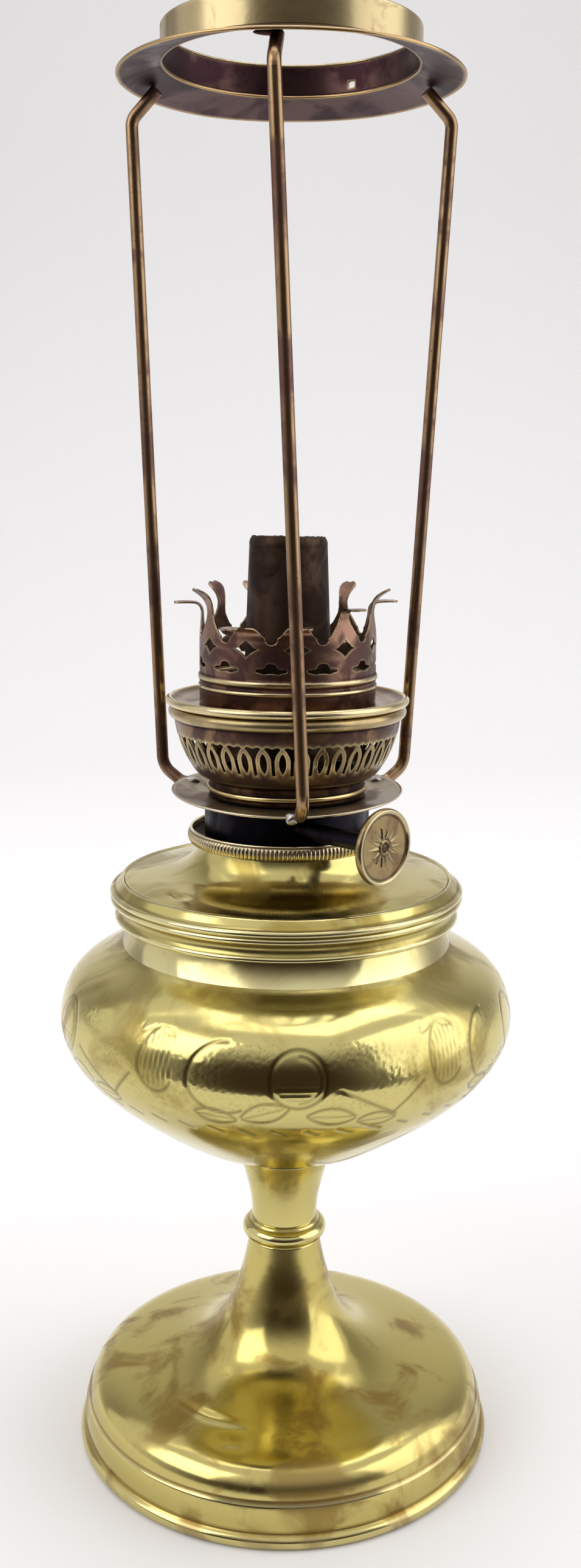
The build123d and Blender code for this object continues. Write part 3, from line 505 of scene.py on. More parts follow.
def leaf(x, y, cx, cy, length, width, tilt):
    """A pointed leaf: distances to its two edges, parabolas that meet at its tips, and to its vein."""
    c, s = math.cos(math.radians(tilt)), math.sin(math.radians(tilt))
    a, b = (x - cx) * c + (y - cy) * s, -(x - cx) * s + (y - cy) * c
    half = length / 2
    edge = width / 2 * (1 - np.clip(np.abs(a) / half, 0, 1) ** 2)
    rim = np.where(np.abs(a) < half, np.abs(np.abs(b) - edge), 9)
    vein = np.where(np.abs(a) < 0.8 * half, np.abs(b - 0.06 * a), 9)
    return rim, vein


def cut(distance, half_width=0.5):
    """Depth of a graver's cut, from 0 to 1: a bell curve of the distance to its line."""
    return np.exp(-(distance / half_width) ** 2)


print("cut depth on its line and half a millimetre off:", cut(np.array([0, 0.5])).round(2))

# %% Engraving
FLOWERS = 5
BELLY_R = 71.3
# leaves and the bud's two small leaves: x, y, length, width, tilt
LEAVES = ((-9.5, -6.5, 15, 6.5, 16), (10, -8, 15, 6.0, -6), (-24, -8.5, 13, 5, -8), (24, -10.5, 13, 5.0, -4))
BUD_LEAVES = ((42.5, 14.5, 8, 3.2, 40), (48.5, 14.5, 8, 3.2, -35))
STEMS = ((12, 0.5, 30, -9.5), (29, -9, 38, 0))        # straight cuts: x, y to x, y


def engraving(u, y):
    """Depth from 0 to 1 at angle u and at y millimetres above the widest line. The pattern repeats
    round the belly: a flower, a leaf to each side below it, a stem and a striped bud."""
    pitch = 2 * math.pi * BELLY_R / FLOWERS
    start = math.radians(3 - 90) * BELLY_R
    x = np.mod(u * BELLY_R - start + pitch / 2 - 8, pitch) - pitch / 2 + 8
    flower, a, b = oval(x, y, 0, 3.5, 8.0, 8.0)
    depth = cut(np.abs(flower))
    depth = np.maximum(depth, 0.6 * cut(np.abs(flower + 1.6)) * (a > 0))
    rows = np.abs(np.mod(b + 3.0, 1.7) - 0.85)
    depth = np.maximum(depth, 0.6 * cut(rows, 0.25) * (flower < -1.5) * (b < -1.5))
    for one in LEAVES:
        rim, vein = leaf(x, y, *one)
        depth = np.maximum(depth, np.maximum(cut(rim), 0.7 * cut(vein, 0.3)))
    big, a, b = oval(x, y, -21, 3.0, 11.0, 10.0, 12)
    depth = np.maximum(depth, cut(np.abs(big)) * (a < 3))
    for one in STEMS:
        depth = np.maximum(depth, cut(segment(x, y, *one)))
    bud, a, b = oval(x, y, 47.5, 5.5, 6.5, 9.0, -6)
    depth = np.maximum(depth, cut(np.abs(bud)))
    stripes = np.abs(np.mod(a + 0.85, 1.7) - 0.85)
    depth = np.maximum(depth, 0.8 * cut(stripes, 0.25) * (bud < -0.8))
    for one in BUD_LEAVES:
        depth = np.maximum(depth, cut(leaf(x, y, *one)[0], 0.35))
    dash = np.mod(x, pitch / 9) - pitch / 18
    depth = np.maximum(depth, cut(segment(dash, y, -2.4, -13.2, 2.0, -15.0)))
    free = (np.abs(flower) > 1.2) & (flower > 0) & (bud > 0.8) & (y > -6) & (y < 13)
    grain = (np.cos(2 * math.pi * (x + 0.6 * np.sin(1.9 * y)) / 1.7)
             * np.cos(2 * math.pi * (y + 0.5 * np.sin(1.3 * x)) / 1.5))
    patchy = 0.5 + 0.5 * np.sin(0.21 * x + 1.3) * np.sin(0.33 * y + 0.6)
    depth = np.maximum(depth, 0.9 * np.clip(grain - 0.2, 0, 1) * free * patchy)
    return depth * np.clip((y + 18) / 2, 0, 1) * np.clip((15 - y) / 2, 0, 1)


# %% Tank
BELLY_H = 46.4           # from the tank's floor to its widest line
SHOULDER_H = 26.5        # from there to the neck
NECK_R = 50.0
CUT_DEPTH = 0.22


def tank_outline():
    """Floor, belly, shoulder and neck, then down the inside with coarser steps."""
    low, high, wide = span("tank_body")
    foot_r, widest = 15.0, low + BELLY_H
    lower = ((0, 0), (0.15, 0.055), (0.315, 0.14), (0.475, 0.265), (0.635, 0.405), (0.79, 0.56),
             (0.905, 0.71), (0.975, 0.86), (1.0, 1.0))
    upper = ((0.05, 0.25), (0.17, 0.46), (0.36, 0.61), (0.62, 0.73), (0.87, 0.84), (0.98, 0.93), (1, 1))
    line = [(foot_r + s * (wide - foot_r), low + u * BELLY_H) for s, u in lower]
    line += [(wide - s * (wide - NECK_R), widest + u * SHOULDER_H) for s, u in upper]
    fine = smooth(line, 600)
    in_band = (fine[:, 1] > widest - 20) & (fine[:, 1] < widest + 17)
    s = np.concatenate([[0], np.cumsum(np.linalg.norm(np.diff(fine, axis=0), axis=1))])
    step = np.where(in_band, 0.55, 2.0)
    count = np.concatenate([[0], np.cumsum(np.diff(s) / step[1:])])
    at = np.interp(np.arange(int(count[-1]) + 1), count, s)
    outer = np.stack([np.interp(at, s, fine[:, 0]), np.interp(at, s, fine[:, 1])], -1)
    inner = inset(smooth(line, 24), SHEET)[::-1]
    rim_low = span("tank_rim")[0]
    hollow = arc(outer[-1], (NECK_R, rim_low + 0.8), -1.5, 9)
    return join((0, low), (foot_r, low), outer, hollow, (NECK_R, high), (NECK_R - SHEET, high),
                (NECK_R - SHEET, rim_low + 1.5), inner[1:-1], (foot_r, low + SHEET), (0, low + SHEET))


def belly_marks(u, r, z):
    """The depth of the engraving on the outside, and a band of painted shade in the neck's hollow."""
    widest = span("tank_body")[0] + BELLY_H
    outside = r > np.interp(z, [0, widest - 45, widest, widest + 15, 300], [0, 14.6, 70.6, 62, 49.5])
    # painted shade: a dark band in the neck's hollow under the rim, for its shadow and darker reflections
    hollow = 0.6 * np.exp(-((z - widest - 29.5) / 3.2) ** 4)
    return {"engraved": np.maximum(np.where(outside, engraving(u, z - widest), 0), hollow)}


def belly_shape(u, r, z):
    """The radius less the cuts and two soft dents."""
    widest = span("tank_body")[0] + BELLY_H
    pull = (CUT_DEPTH * belly_marks(u, r, z)["engraved"]
            + dent(u, z, r, azimuth=27, height=widest + 9, wide=13, tall=6, depth=1.1)
            + dent(u, z, r, azimuth=-55, height=widest + 2, wide=12, tall=7, depth=0.5))
    return r - pull, z


tank = lathe("tank_engraved", tank_outline(), turns=760, closed=False, shape=belly_shape, extra=belly_marks)

# %% [markdown]
# The cuts keep a grey-green line of old polish, and the hollow of the neck gets the same dark colour
# as painted shade. The tank's brass is the stem's brass with one more layer: where the mesh says it is
# engraved or in the neck's hollow, the colour turns dull and dark.

# %% Engraved brass
engraved_and_neck_shaded_brass = spun_brass.copy()
engraved_and_neck_shaded_brass.name = "engraved_spun_brass_with_painted_neck_shade"
tree = engraved_and_neck_shaded_brass.node_tree
shader = next(n for n in tree.nodes if n.type == "BSDF_PRINCIPLED")
mark = node(tree, "ShaderNodeAttribute", attribute_name="engraved").outputs["Fac"]
mark = node(tree, "ShaderNodeMath", {0: mark, 1: 0.75}, operation="MULTIPLY").outputs[0]
uncut = shader.inputs["Base Color"].links[0].from_socket
# the same dark colour fills the engraved cuts and is painted shade in the neck's hollow
dark_cut_and_neck_shade = node(tree, "ShaderNodeMix", {0: mark, 6: uncut, 7: linear("#6b6136")}, **COLOURS).outputs[2]
tree.links.new(dark_cut_and_neck_shade, shader.inputs["Base Color"])
fit(tank, "lamp", engraved_and_neck_shaded_brass, "brass", "tank_body")
print("engraved brass has", len(tree.nodes), "nodes")

# %% [markdown]
# ## Rim and top plate
# The moulding round the neck has a thin lower edge, a hollow and two beads. The plate inside it is a
# flat sheet that flares up to the burner, with one small dent on its left. Beads and hollows are
# arcs, so they keep a clean highlight, and the flare is one cubic through seven points.

# %% Rim and plate
def rim_outline():
    """Lower edge, hollow, two beads, and a slope up to the plate."""
    low, high, wide = span("tank_rim")
    plate = NECK_R + 0.6
    z1, z2, z3 = low + 5.6, low + 7.7, low + 9.8       # the two beads lie between these heights
    return fill(join(
        (NECK_R, low), arc((wide - 2.4, low), (wide - 1.9, low + 1.9), 0.8, 9),
        arc((wide - 1.9, low + 1.9), (wide - 1.2, z1), -1.0, 10),
        arc((wide - 1.2, z1), (wide - 0.9, z2), 0.95, 10),
        arc((wide - 0.9, z2), (wide - 0.9, z3), 0.9, 10), (wide - 1.4, z3 + 0.1), (plate + 0.8, high),
        (plate, high - 0.8), (plate, high - 1.2), (NECK_R, high - 1.2), (NECK_R, low)), 1.2)[:-1]


def plate_outline():
    """From the rim over the flat to the flared mouth, and back below."""
    low, high, wide = span("tank_top_plate")
    mouth, sheet = 27.6, 0.8
    shares = ((0, 0), (0.2, 0.09), (0.48, 0.17), (0.7, 0.28), (0.86, 0.49), (0.96, 0.76), (1, 1))
    line = smooth([(wide - s * (wide - mouth), low + sheet + u * (high - low - sheet))
                   for s, u in shares], 60)
    inner = inset(line, sheet)
    inner[0], inner[-1] = (wide, low), (mouth - sheet, high)
    return join(line, inner[::-1])


def plate_shape(u, r, z):
    """The plate with its one dent."""
    return r, z - dent(u, r, 43, azimuth=-46, height=44.5, wide=3.2, tall=1.5, depth=0.8)


rim = lathe("tank_rim_turned", rim_outline(), turns=320)
fit(rim, "lamp", spun_brass, "brass", "tank_rim")
plate = lathe("tank_plate_spun", plate_outline(), turns=320, shape=plate_shape)
fit(plate, "lamp", spun_brass, "brass", "tank_top_plate")

# %% [markdown]
# ## Pierced sheet
# The burner's basket and crown were punched out of flat sheet and then rolled up. A boolean cut
# would leave ragged shading, so the sheet is drawn by a number instead: a function of the place on
# the sheet that is positive in metal and negative in a hole. Cells that lie across its zero line are
# clipped along it, which gives each hole a clean edge, and Solidify makes the sheet's thickness.

# %% Clipping a grid by a function
def clip_grid(f):
    """Points and faces of the part of a closed grid where f is positive. Corners inside stay. Each
    grid edge whose ends differ in sign gets a point where f, taken as straight, crosses zero. Round
    a cell, corners and edge points take turns, and the four signs say which of the eight it keeps."""
    rows, columns = f.shape
    index = np.arange(rows * columns).reshape(rows, columns)
    v, u = np.meshgrid(np.arange(rows, dtype=float), np.arange(columns, dtype=float), indexing="ij")
    beside, above = np.roll(f, -1, 1), np.vstack([f[1:], f[-1:]])
    share_u = np.clip(f / np.where(f == beside, 1, f - beside), 0.001, 0.999)
    share_v = np.clip(f / np.where(f == above, 1, f - above), 0.001, 0.999)
    place_v = np.concatenate([v.ravel(), v.ravel(), (v + share_v).ravel()])
    place_u = np.concatenate([u.ravel(), (u + share_u).ravel(), u.ravel()])
    cross_u, cross_v = index + index.size, index + 2 * index.size
    a, b = index[:-1], np.roll(index, -1, 1)[:-1]
    d, c = index[1:], np.roll(index, -1, 1)[1:]
    ring = np.stack([a, cross_u[:-1], b, np.roll(cross_v, -1, 1)[:-1], c, cross_u[1:], d, cross_v[:-1]], -1)
    ring = ring.reshape(-1, 8)
    case = ((f > 0).ravel()[ring[:, ::2]] * [1, 2, 4, 8]).sum(1)
    faces = []
    for code in range(1, 16):
        inside = [bool(code & bit) for bit in (1, 2, 4, 8)]
        crossed = [inside[k] != inside[(k + 1) % 4] for k in range(4)]
        kept = [k for k in range(8) if (crossed if k % 2 else inside)[k // 2]]
        faces += ring[case == code][:, kept].tolist()
    used, flat = np.unique(np.concatenate(faces), return_inverse=True)
    cuts = np.cumsum([len(face) for face in faces])[:-1]
    return place_v[used], place_u[used], [part.tolist() for part in np.split(flat, cuts)]


def pierced(name, line, columns, metal, wall, shape=None, worn=0.8, edge=0.3):
    """A turned sheet with holes. Row i of the grid is the point line[i] of the outside, column j the
    angle j/columns of a turn, and metal(u, r, z) is the distance in millimetres to the nearest hole,
    negative inside one. A shape function bends the sheet afterwards."""
    line = np.asarray(line, float)
    u = 2 * np.pi * np.arange(columns)[None, :] / columns
    row, column, faces = clip_grid(metal(u, line[:, :1], line[:, 1:]) + np.zeros((len(line), columns)))
    at = np.arange(len(line))
    u = 2 * np.pi * column / columns
    r, z = np.interp(row, at, line[:, 0]), np.interp(row, at, line[:, 1])
    corner, groove = corner_and_groove(line, False)
    border = np.exp(-(np.maximum(metal(u, r, z), 0) / edge) ** 2)
    marks = {"corner": np.maximum(np.interp(row, at, corner), worn * border),
             "groove": np.interp(row, at, groove) * (1 - border)}
    if shape:
        u, r, z = shape(u, r, z)
    obj = new_object(name, np.stack([r * np.cos(u), r * np.sin(u), z], -1), faces, marks)
    thick = obj.modifiers.new("sheet", "SOLIDIFY")
    thick.thickness = wall * MM
    thick.offset = -1.0
    thick.use_even_offset = True
    print(f"{name}: {len(faces)} faces before it is made thick")
    return obj


punched = np.where(np.arange(24).reshape(4, 6) == 8, -1.0, 1.0)
print("corners of 18 cells with one point punched out:", [len(face) for face in clip_grid(punched)[2]])

# %% [markdown]
# ## The basket
# The bowl under the gallery lets air in through a ring of pointed loops. Each loop is a band of
# metal with a slot in it, and neighbours touch only at their feet and at their tips, so a little
# three-cornered hole is left between two tips. All 36 loops are one formula, repeated by angle.

# %% Basket
LOOPS = 36
FIRST_LOOP = math.radians(-2.2 - 90)


def basket_line():
    """Sleeve with its bead, the bowl, and the broad bead on top."""
    low, high, wide = span("basket")
    sleeve, bead, bowl_low, bowl_high = 24.1, 1.8, low + 5.6, high - 4.2
    shares = ((0, 0), (0.28, 0.055), (0.54, 0.235), (0.7, 0.4), (0.85, 0.62), (0.955, 0.83), (1, 1))
    bowl = smooth([(sleeve + s * (wide - bead - sleeve), bowl_low + u * (bowl_high - bowl_low))
                   for s, u in shares], 70)
    return join((sleeve, low), (sleeve, low + 1.4), arc((sleeve, low + 1.5), (sleeve, low + 3.3), 0.8, 9),
                (sleeve, low + 3.6), (sleeve, low + 4.6), bowl[1:],
                arc((wide - bead + 0.1, bowl_high + 0.15), (wide - bead, high - 0.1), bead - 0.05, 16))


def basket_metal(u, r, z):
    """x runs round from a loop's middle, y up from the loops' feet. A slot is an oval power curve,
    and a gap is what lies outside an arch that narrows towards its tip."""
    half = np.pi * r / LOOPS
    x = (np.mod((u - FIRST_LOOP) * LOOPS / (2 * np.pi) + 0.5, 1) - 0.5) * 2 * half
    y = z - span("basket")[0] - 10.0
    slot = (np.abs(x) / (0.36 * half) + np.abs((y - 4.6) / 3.3) ** 2.6 - 1) * 0.36 * half
    arch = 0.82 * half * (1 - np.clip((y - 5.2) / 4.6, 0, 1) ** 1.9)
    gap = np.maximum(np.maximum(arch - np.abs(x), 0.6 - y), y - 9.5 + 0.25 * np.cos(6 * x / half))
    return np.minimum(slot, gap)


basket = pierced("basket_pierced", basket_line(), LOOPS * 18, basket_metal, 0.5, worn=0.5, edge=0.75)
fit(basket, "gallery", burner_brass, "burner_brass", "basket")

# %% [markdown]
# ## Disc and crown
# A flat ring with a rolled edge closes the basket. On it stands the crown that holds the glass: a
# neck with two beads, a band pierced with eyes and bat-shaped holes, and eleven springy petals. They
# were cut alike, but years of fitting glass have bent some nearly flat, so each has its own bend.
# Eleven modelled petals would be hard to keep alike, so one straight tube is cut into all of them
# at once, and a second function then bends each one in its own upright plane.

# %% Gallery disc
def disc_outline():
    """A flat ring, its rolled edge and a shallow dish on top."""
    low, high, wide = span("gallery_disc")
    inner = 24.8
    return fill(join((inner, low), (wide - 1.3, low), arc((wide - 1.1, low), (wide - 1.2, high), 1.05, 14),
                     arc((wide - 1.7, high - 0.1), (wide - 3.2, low + 1.3), -0.2, 6), (wide - 7, low + 0.7),
                     (inner, low + 0.5), (inner, low)), 2.0)[:-1]


disc = lathe("gallery_disc_rolled", disc_outline(), turns=320)
# the disc's lighter brass is a painted reflection
fit(disc, "gallery", disc_brass_painted_reflection, "burner_brass", "gallery_disc")

# %% Crown
PETALS = 11
CROWN_R = 27.0
CROWN_NECK = 9.4         # height of the neck with its beads, below the pierced band
FIRST_PETAL = math.radians(6 - 90)
PETAL_ROOT = 9.8         # a petal's foot above the band's foot
PETAL_LENGTH = 17.8
PETAL_STEPS = 80
# half the width of a petal at each height above the band's foot
PETAL_Y = [0, 9.9, 10.3, 11.4, 12.6, 14.4, 16.2, 18, 20, 22, 24.2, 26, 27, 27.5]
PETAL_HALF = [9, 9, 6.7, 5.7, 4.9, 3.6, 2.3, 1.7, 1.6, 2.0, 2.7, 2.7, 2.0, 0.8]
# from the petal at the front, anticlockwise seen from above: how flat each is bent, where along it the
# bend starts, its lean to one side, and its lean outwards at the foot in degrees
BENDS = np.array([1.0, 0.95, 0.05, 0.97, 0.1, 0.0, 0.05, 0.05, 1.0, 0.0, 1.0])
STARTS = np.array([0.14, 0.4, 0.4, 0.42, 0.4, 0.4, 0.4, 0.4, 0.42, 0.4, 0.12])
LEANS = np.array([0.5, -1.0, 0.6, 0.4, 1.5, -0.5, 0.8, -1.8, 0.5, -0.6, 1.2])
FEET = np.array([-2, -6, -3, -6, -8, -2, -3, -8, -8, -2, -4])


def crown_line():
    """Neck, two beads and then straight up: the petals are bent later."""
    low = span("crown")[0]
    band = low + CROWN_NECK
    steps = np.arange(band + 0.3, band + 28.2, 0.3)
    lower_bead = arc((CROWN_R, band - 4.8), (CROWN_R, band - 3.4), 0.5, 8)
    upper_bead = arc((CROWN_R, band - 2.3), (CROWN_R, band - 0.2), 0.55, 10)
    return join((CROWN_R, low), (CROWN_R, band - 5.0), lower_bead, (CROWN_R, band - 2.8), upper_bead,
                np.stack([np.full(len(steps), CROWN_R), steps], -1))


def crown_metal(u, r, z):
    """x runs round from a petal's middle, y up from the band's foot. Metal is inside the petal's
    outline and outside the nick in its tip, the eye below it and the bat between two petals."""
    pitch = 2 * np.pi * CROWN_R / PETALS
    x = (np.mod((u - FIRST_PETAL) * PETALS / (2 * np.pi) + 0.5, 1) - 0.5) * pitch
    y = z - span("crown")[0] - CROWN_NECK
    outline = np.interp(y, PETAL_Y, PETAL_HALF) + 0.5 * np.exp(-((y - 12.0) / 0.5) ** 2) - np.abs(x)
    nick = np.hypot(x - 0.3, y - 28.1) - 1.2
    eye = ((np.abs(x) / 3.9) ** 0.8 + (np.abs(y - 9.0) / 2.5) ** 0.8 - 1) * 2.0
    eye = np.minimum(eye, np.hypot(x, y - 9.0) - 1.3)
    away = pitch / 2 - np.abs(x)
    wing = np.sqrt(np.clip(1 - (away / 4.8) ** 2, 0, 1))
    upper = 3.1 + (0.4 + 1.5 * np.exp(-(away / 1.9) ** 6)) * wing - y
    lower = y - 2.6 + (0.5 + 0.35 * np.exp(-((away - 2.2) / 0.9) ** 2)) * wing
    bat = -np.minimum(np.minimum(upper, lower), 4.8 - away)
    return np.minimum(np.minimum(outline, nick), np.minimum(eye, bat))


def petal_bend(u, r, z):
    """Each petal is bent in its own upright plane. Its slope from the vertical changes along it, and
    radius and height are the running sums of the slope's sine and cosine. The slope in degrees is a
    mix of a springy petal's, which curls out near its tip, and of one that is bent nearly flat."""
    start = span("crown")[0] + CROWN_NECK + PETAL_ROOT
    k = np.mod((u - FIRST_PETAL) * PETALS / (2 * np.pi) + 0.5, PETALS).astype(int) % PETALS
    t = np.linspace(0, 1, PETAL_STEPS)[None, :]
    begin = STARTS[:, None]
    spring = (FEET[:, None] * np.clip(t / 0.3, 0, 1) + 78 * np.clip((t - 0.42) / 0.5, 0, 1) ** 1.5
              - 22 * np.clip((t - 0.8) / 0.2, 0, 1))
    flat = (-7 * np.sin(np.pi * np.clip(t / begin, 0, 1)) + 86 * np.clip((t - begin) / 0.22, 0, 1) ** 1.3
            + 8 * np.sin(9 * t) * t)
    slope = np.radians(spring + BENDS[:, None] * (flat - spring))
    last = PETAL_STEPS - 1
    step = PETAL_LENGTH / last
    out, up = np.cumsum(np.sin(slope), 1) * step, np.cumsum(np.cos(slope), 1) * step
    share = np.clip((z - start) / PETAL_LENGTH, 0, 1)
    i = np.minimum((share * last).astype(int), last - 1)
    part = share * last - i
    lifted = z > start
    r = np.where(lifted, r + out[k, i] * (1 - part) + out[k, i + 1] * part, r)
    z = np.where(lifted, start + up[k, i] * (1 - part) + up[k, i + 1] * part, z)
    middle = FIRST_PETAL + 2 * np.pi * k / PETALS
    aside = np.angle(np.exp(1j * (u - middle))) * CROWN_R + LEANS[k] * share ** 2
    return np.where(lifted, middle + aside / r, u), r, z


crown = pierced("crown_pierced", crown_line(), PETALS * 44, crown_metal, 0.6, petal_bend,
                worn=0.22, edge=0.35)
fit(crown, "gallery", crown_brass, "burner_brass", "crown")

# %% [markdown]
# ## Wick tubes and wick
# The outer tube is a cone of thin sheet, blackened by the flame, with a window low down at the back
# that lets air into the inner tube. Heat has eaten its rim, which three sines in the height imitate.
# The wick stands between the two tubes, a woven cotton sleeve charred at the top. Its solid keeps
# its shape, and only gets a weave: two sines, one round the sleeve and one up it, multiplied.

# %% Wick tubes
WINDOW_SIDE = math.radians(46)     # the window is opposite the winder's wheels
WINDOW_WIDE = math.radians(40)


def window_metal(low, high):
    """Distance to the window between two heights: the larger of the ways round and up to it."""
    def metal(u, r, z):
        away = (np.abs(np.angle(np.exp(1j * (u - WINDOW_SIDE)))) - WINDOW_WIDE / 2) * r
        return np.maximum(away, np.maximum(low - z, z - high)) + 0 * u
    return metal


def flame_tube_line():
    """A small flange, the cone, and a lip that turns in."""
    low, high, wide = span("flame_tube")
    return join((wide, low), (wide, low + 0.6), (wide - 1.4, low + 0.7),
                fill(np.array([(15.0, low + 0.8), (12.0, high - 3.2)]), 0.8),
                arc((12.0, high - 3.0), (11.0, high - 0.02), 0.35, 8))


def burnt_rim(u, r, z):
    """The rim is eaten away by up to 1 mm, and the tube is a little out of round."""
    near = np.clip((z - span("flame_tube")[1] + 5) / 5, 0, 1)
    eaten = 0.35 * (1 + np.sin(u + 0.4)) + 0.14 * np.sin(9 * u + 1) * np.sin(4 * u) + 0.1 * np.sin(31 * u)
    return u, r - 0.1 * (1 + np.sin(2 * u + 0.6)), z - near * np.clip(eaten, 0, 1)


tube_foot = span("flame_tube")[0]
window = window_metal(tube_foot + 4.0, tube_foot + 18.0)
flame_tube = pierced("flame_tube_cone", flame_tube_line(), 240, window, 0.5, burnt_rim, worn=0.1)
fit(flame_tube, "burner", burnt_brass, "tube_brass", "flame_tube")

# %% Wick
# undyed cotton, loosely woven: matt and warm, with threads 1.1 mm apart and a charred, crusty top
THREADS_ROUND = 56.0
THREAD_MM = 1.1
CHAR_FROM, CHAR_TO = 0.283, 0.291       # metres up

cotton = bpy.data.materials.new("woven_cotton_wick")
cotton.use_nodes = True
tree = cotton.node_tree
place = node(tree, "ShaderNodeTexCoord").outputs["Object"]
axes = node(tree, "ShaderNodeSeparateXYZ", {0: place}).outputs
turn = node(tree, "ShaderNodeMath", {0: axes["Y"], 1: axes["X"]}, operation="ARCTAN2").outputs[0]
warp = node(tree, "ShaderNodeMath", {0: turn, 1: THREADS_ROUND}, operation="MULTIPLY").outputs[0]
warp = node(tree, "ShaderNodeMath", {0: warp}, operation="SINE").outputs[0]
weft = node(tree, "ShaderNodeMath", {0: axes["Z"], 1: 2 * math.pi / (THREAD_MM * MM)},
            operation="MULTIPLY").outputs[0]
weft = node(tree, "ShaderNodeMath", {0: weft}, operation="SINE").outputs[0]
weave = node(tree, "ShaderNodeMath", {0: warp, 1: weft}, operation="MULTIPLY").outputs[0]
raised = node(tree, "ShaderNodeMapRange", {0: weave, 1: -0.8, 2: 0.8}, **SOFT_STEP).outputs[0]
thread = node(tree, "ShaderNodeMix", {0: raised, 6: linear("#8f8467"), 7: linear("#c9bd9c")},
              **COLOURS).outputs[2]
burnt = node(tree, "ShaderNodeMapRange", {0: axes["Z"], 1: CHAR_FROM, 2: CHAR_TO}, **SOFT_STEP).outputs[0]
charred = node(tree, "ShaderNodeMix", {0: burnt, 6: thread, 7: linear("#1d1714")}, **COLOURS).outputs[2]
bump = node(tree, "ShaderNodeBump", {"Height": weave, "Strength": 0.6, "Distance": 0.3 * MM}).outputs[0]
cloth = tree.nodes["Principled BSDF"]
cloth.inputs["Roughness"].default_value = 0.95
tree.links.new(charred, cloth.inputs["Base Color"])
tree.links.new(bump, cloth.inputs["Normal"])
print("wick cotton has", len(tree.nodes), "nodes")

# %% [markdown]
# ## The burner's cup and pot
# The screw cup has a milled ring to grip: its reeds are a cosine in the radius, deepest in the
# middle of the ring's height. They could be a bump, but their outline shows against the pale plate,
# so they are in the mesh, six points to a reed. The pot above it is a plain nearly black drum, and its
# solid is kept.

# %% Burner cup
REEDS = 150


def cup_outline():
    """Screw skirt, the ring's underside, its milled side, the lip and the flat inside."""
    low, high, wide = span("burner_cup")
    bore, skirt, foot, lip = 23.3, 24.3, low + 8.0, high - 0.5
    side = arc((wide - 1.2, foot), (wide - 0.8, lip - 0.5), 0.7, 12)
    lip_bead = arc((wide - 1.0, lip - 0.2), (wide - 1.8, lip - 0.1), 0.55, 8)
    return fill(join((bore, low), (skirt, low), (skirt, foot), side, (wide - 1.1, lip - 0.3), lip_bead,
                     (wide - 2.4, foot + 1.1), (bore, foot + 1.1), (bore, low)), 1.6)[:-1]


def reeds(u, r, z):
    """The radius less a cosine of the angle, faded out above and below the ring's middle."""
    low, high, wide = span("burner_cup")
    middle = np.exp(-((z - (low + high + 7.2) / 2) / 1.5) ** 6) * (r > wide - 1.4)
    return r - 0.16 * (1 - np.cos(REEDS * u)) * middle, z


def cup_inside(u, r, z):
    """Everything inside the ring's lip is as dark as a groove."""
    _, high, wide = span("burner_cup")
    inside = (r < wide - 1.9) & (z > high - 4.0)
    corner, groove = corner_and_groove(cup_outline(), True)
    return {"groove": np.where(inside, 1.0, groove[:, None] + 0 * u),
            "corner": np.where(inside, 0.0, corner[:, None] + 0 * u)}


cup = lathe("burner_cup_milled", cup_outline(), turns=REEDS * 6, shape=reeds, extra=cup_inside)
fit(cup, "burner", cup_brass, "burner_brass", "burner_cup")

# %% [markdown]
# ## The tripod
# A thin dished saucer sits on the burner. Its rim has sagged at the front, under the leg. Three bent
# rods stand on its rim, each in a lump of solder, and carry the shade ring: a conical flange and an
# upright collar with one square peep hole. The rods' solids are right as they are, so they only get
# their patina. Saucer and flange are turned again, because thin old sheet is never quite flat.

# %% Saucer
SEAT_R = 26.6        # the flat middle of the saucer


def saucer_outline():
    """The flat seat, the dish and its rolled rim, from below and back on top."""
    low, high, wide = span("saucer")
    bore = 23.6
    under = smooth([(SEAT_R + 0.3, low), (31, low + 0.35), (wide - 0.3, low + 0.9)], 14)
    above = smooth([(wide - 1.6, low + 1.4), (31, low + 1.0), (SEAT_R, low + 0.8)], 14)
    return fill(join((bore, low), (SEAT_R, low), under, (wide, low + 1.3), (wide - 0.3, low + 1.7),
                     (wide - 1.4, low + 1.45), above, (bore, low + 0.8), (bore, low)), 1.5)[:-1]


def sagged(u, r, z):
    """The rim rises by 1.5 mm all round, except where it sags at the front."""
    from_front = np.degrees(np.angle(np.exp(1j * (u + np.pi / 2))))
    rise = 1.5 - 2.1 * np.exp(-(from_front / 50) ** 2) + 0.15 * np.sin(3 * u)
    return r, z + rise * np.clip((r - SEAT_R) / 9.3, 0, 1) ** 1.3


saucer = lathe("saucer_sagged", saucer_outline(), turns=300, shape=sagged)
fit(saucer, "tripod", dull_brass, "tinned_brass", "saucer")

# %% Shade flange and collar
PEEP_SIDE = math.radians(60)


def flange_outline():
    """A cone of sheet: its underside, its thin edge and its top."""
    low, high, wide = span("shade_flange")
    bore, collar_r, foot = 36.6, 37.3, low + 3.8
    edge = arc((wide - 0.2, low), (wide - 0.3, low + 1.0), 0.2, 5)
    return fill(join((bore, foot), (collar_r, foot), (wide - 0.4, low), edge,
                     (collar_r + 0.6, high), (bore, high), (bore, foot)), 1.2)[:-1]


def hammered(u, r, z):
    """Thin sheet that has been knocked: its edge is a little wavy."""
    return r, z + 0.18 * (np.sin(2 * u + 0.5) + 0.6 * np.sin(5 * u)) * np.clip((r - 38) / 12, 0, 1)


def collar_line():
    """Straight up, with a slightly rounded top edge."""
    low, high, wide = span("shade_collar")
    top_edge = arc((wide, high - 0.45), (wide - 0.35, high - 0.02), 0.08, 4)
    return fill(join((wide, low), (wide, high - 0.5), top_edge), 0.45)


def peep_metal(u, r, z):
    """Distance to the square peep hole: the larger of the ways round and up to it."""
    low = span("shade_collar")[0]
    away = np.abs(np.angle(np.exp(1j * (u - PEEP_SIDE)))) * r
    return np.maximum(away - 1.1, np.abs(z - low - 2.3) - 0.95)


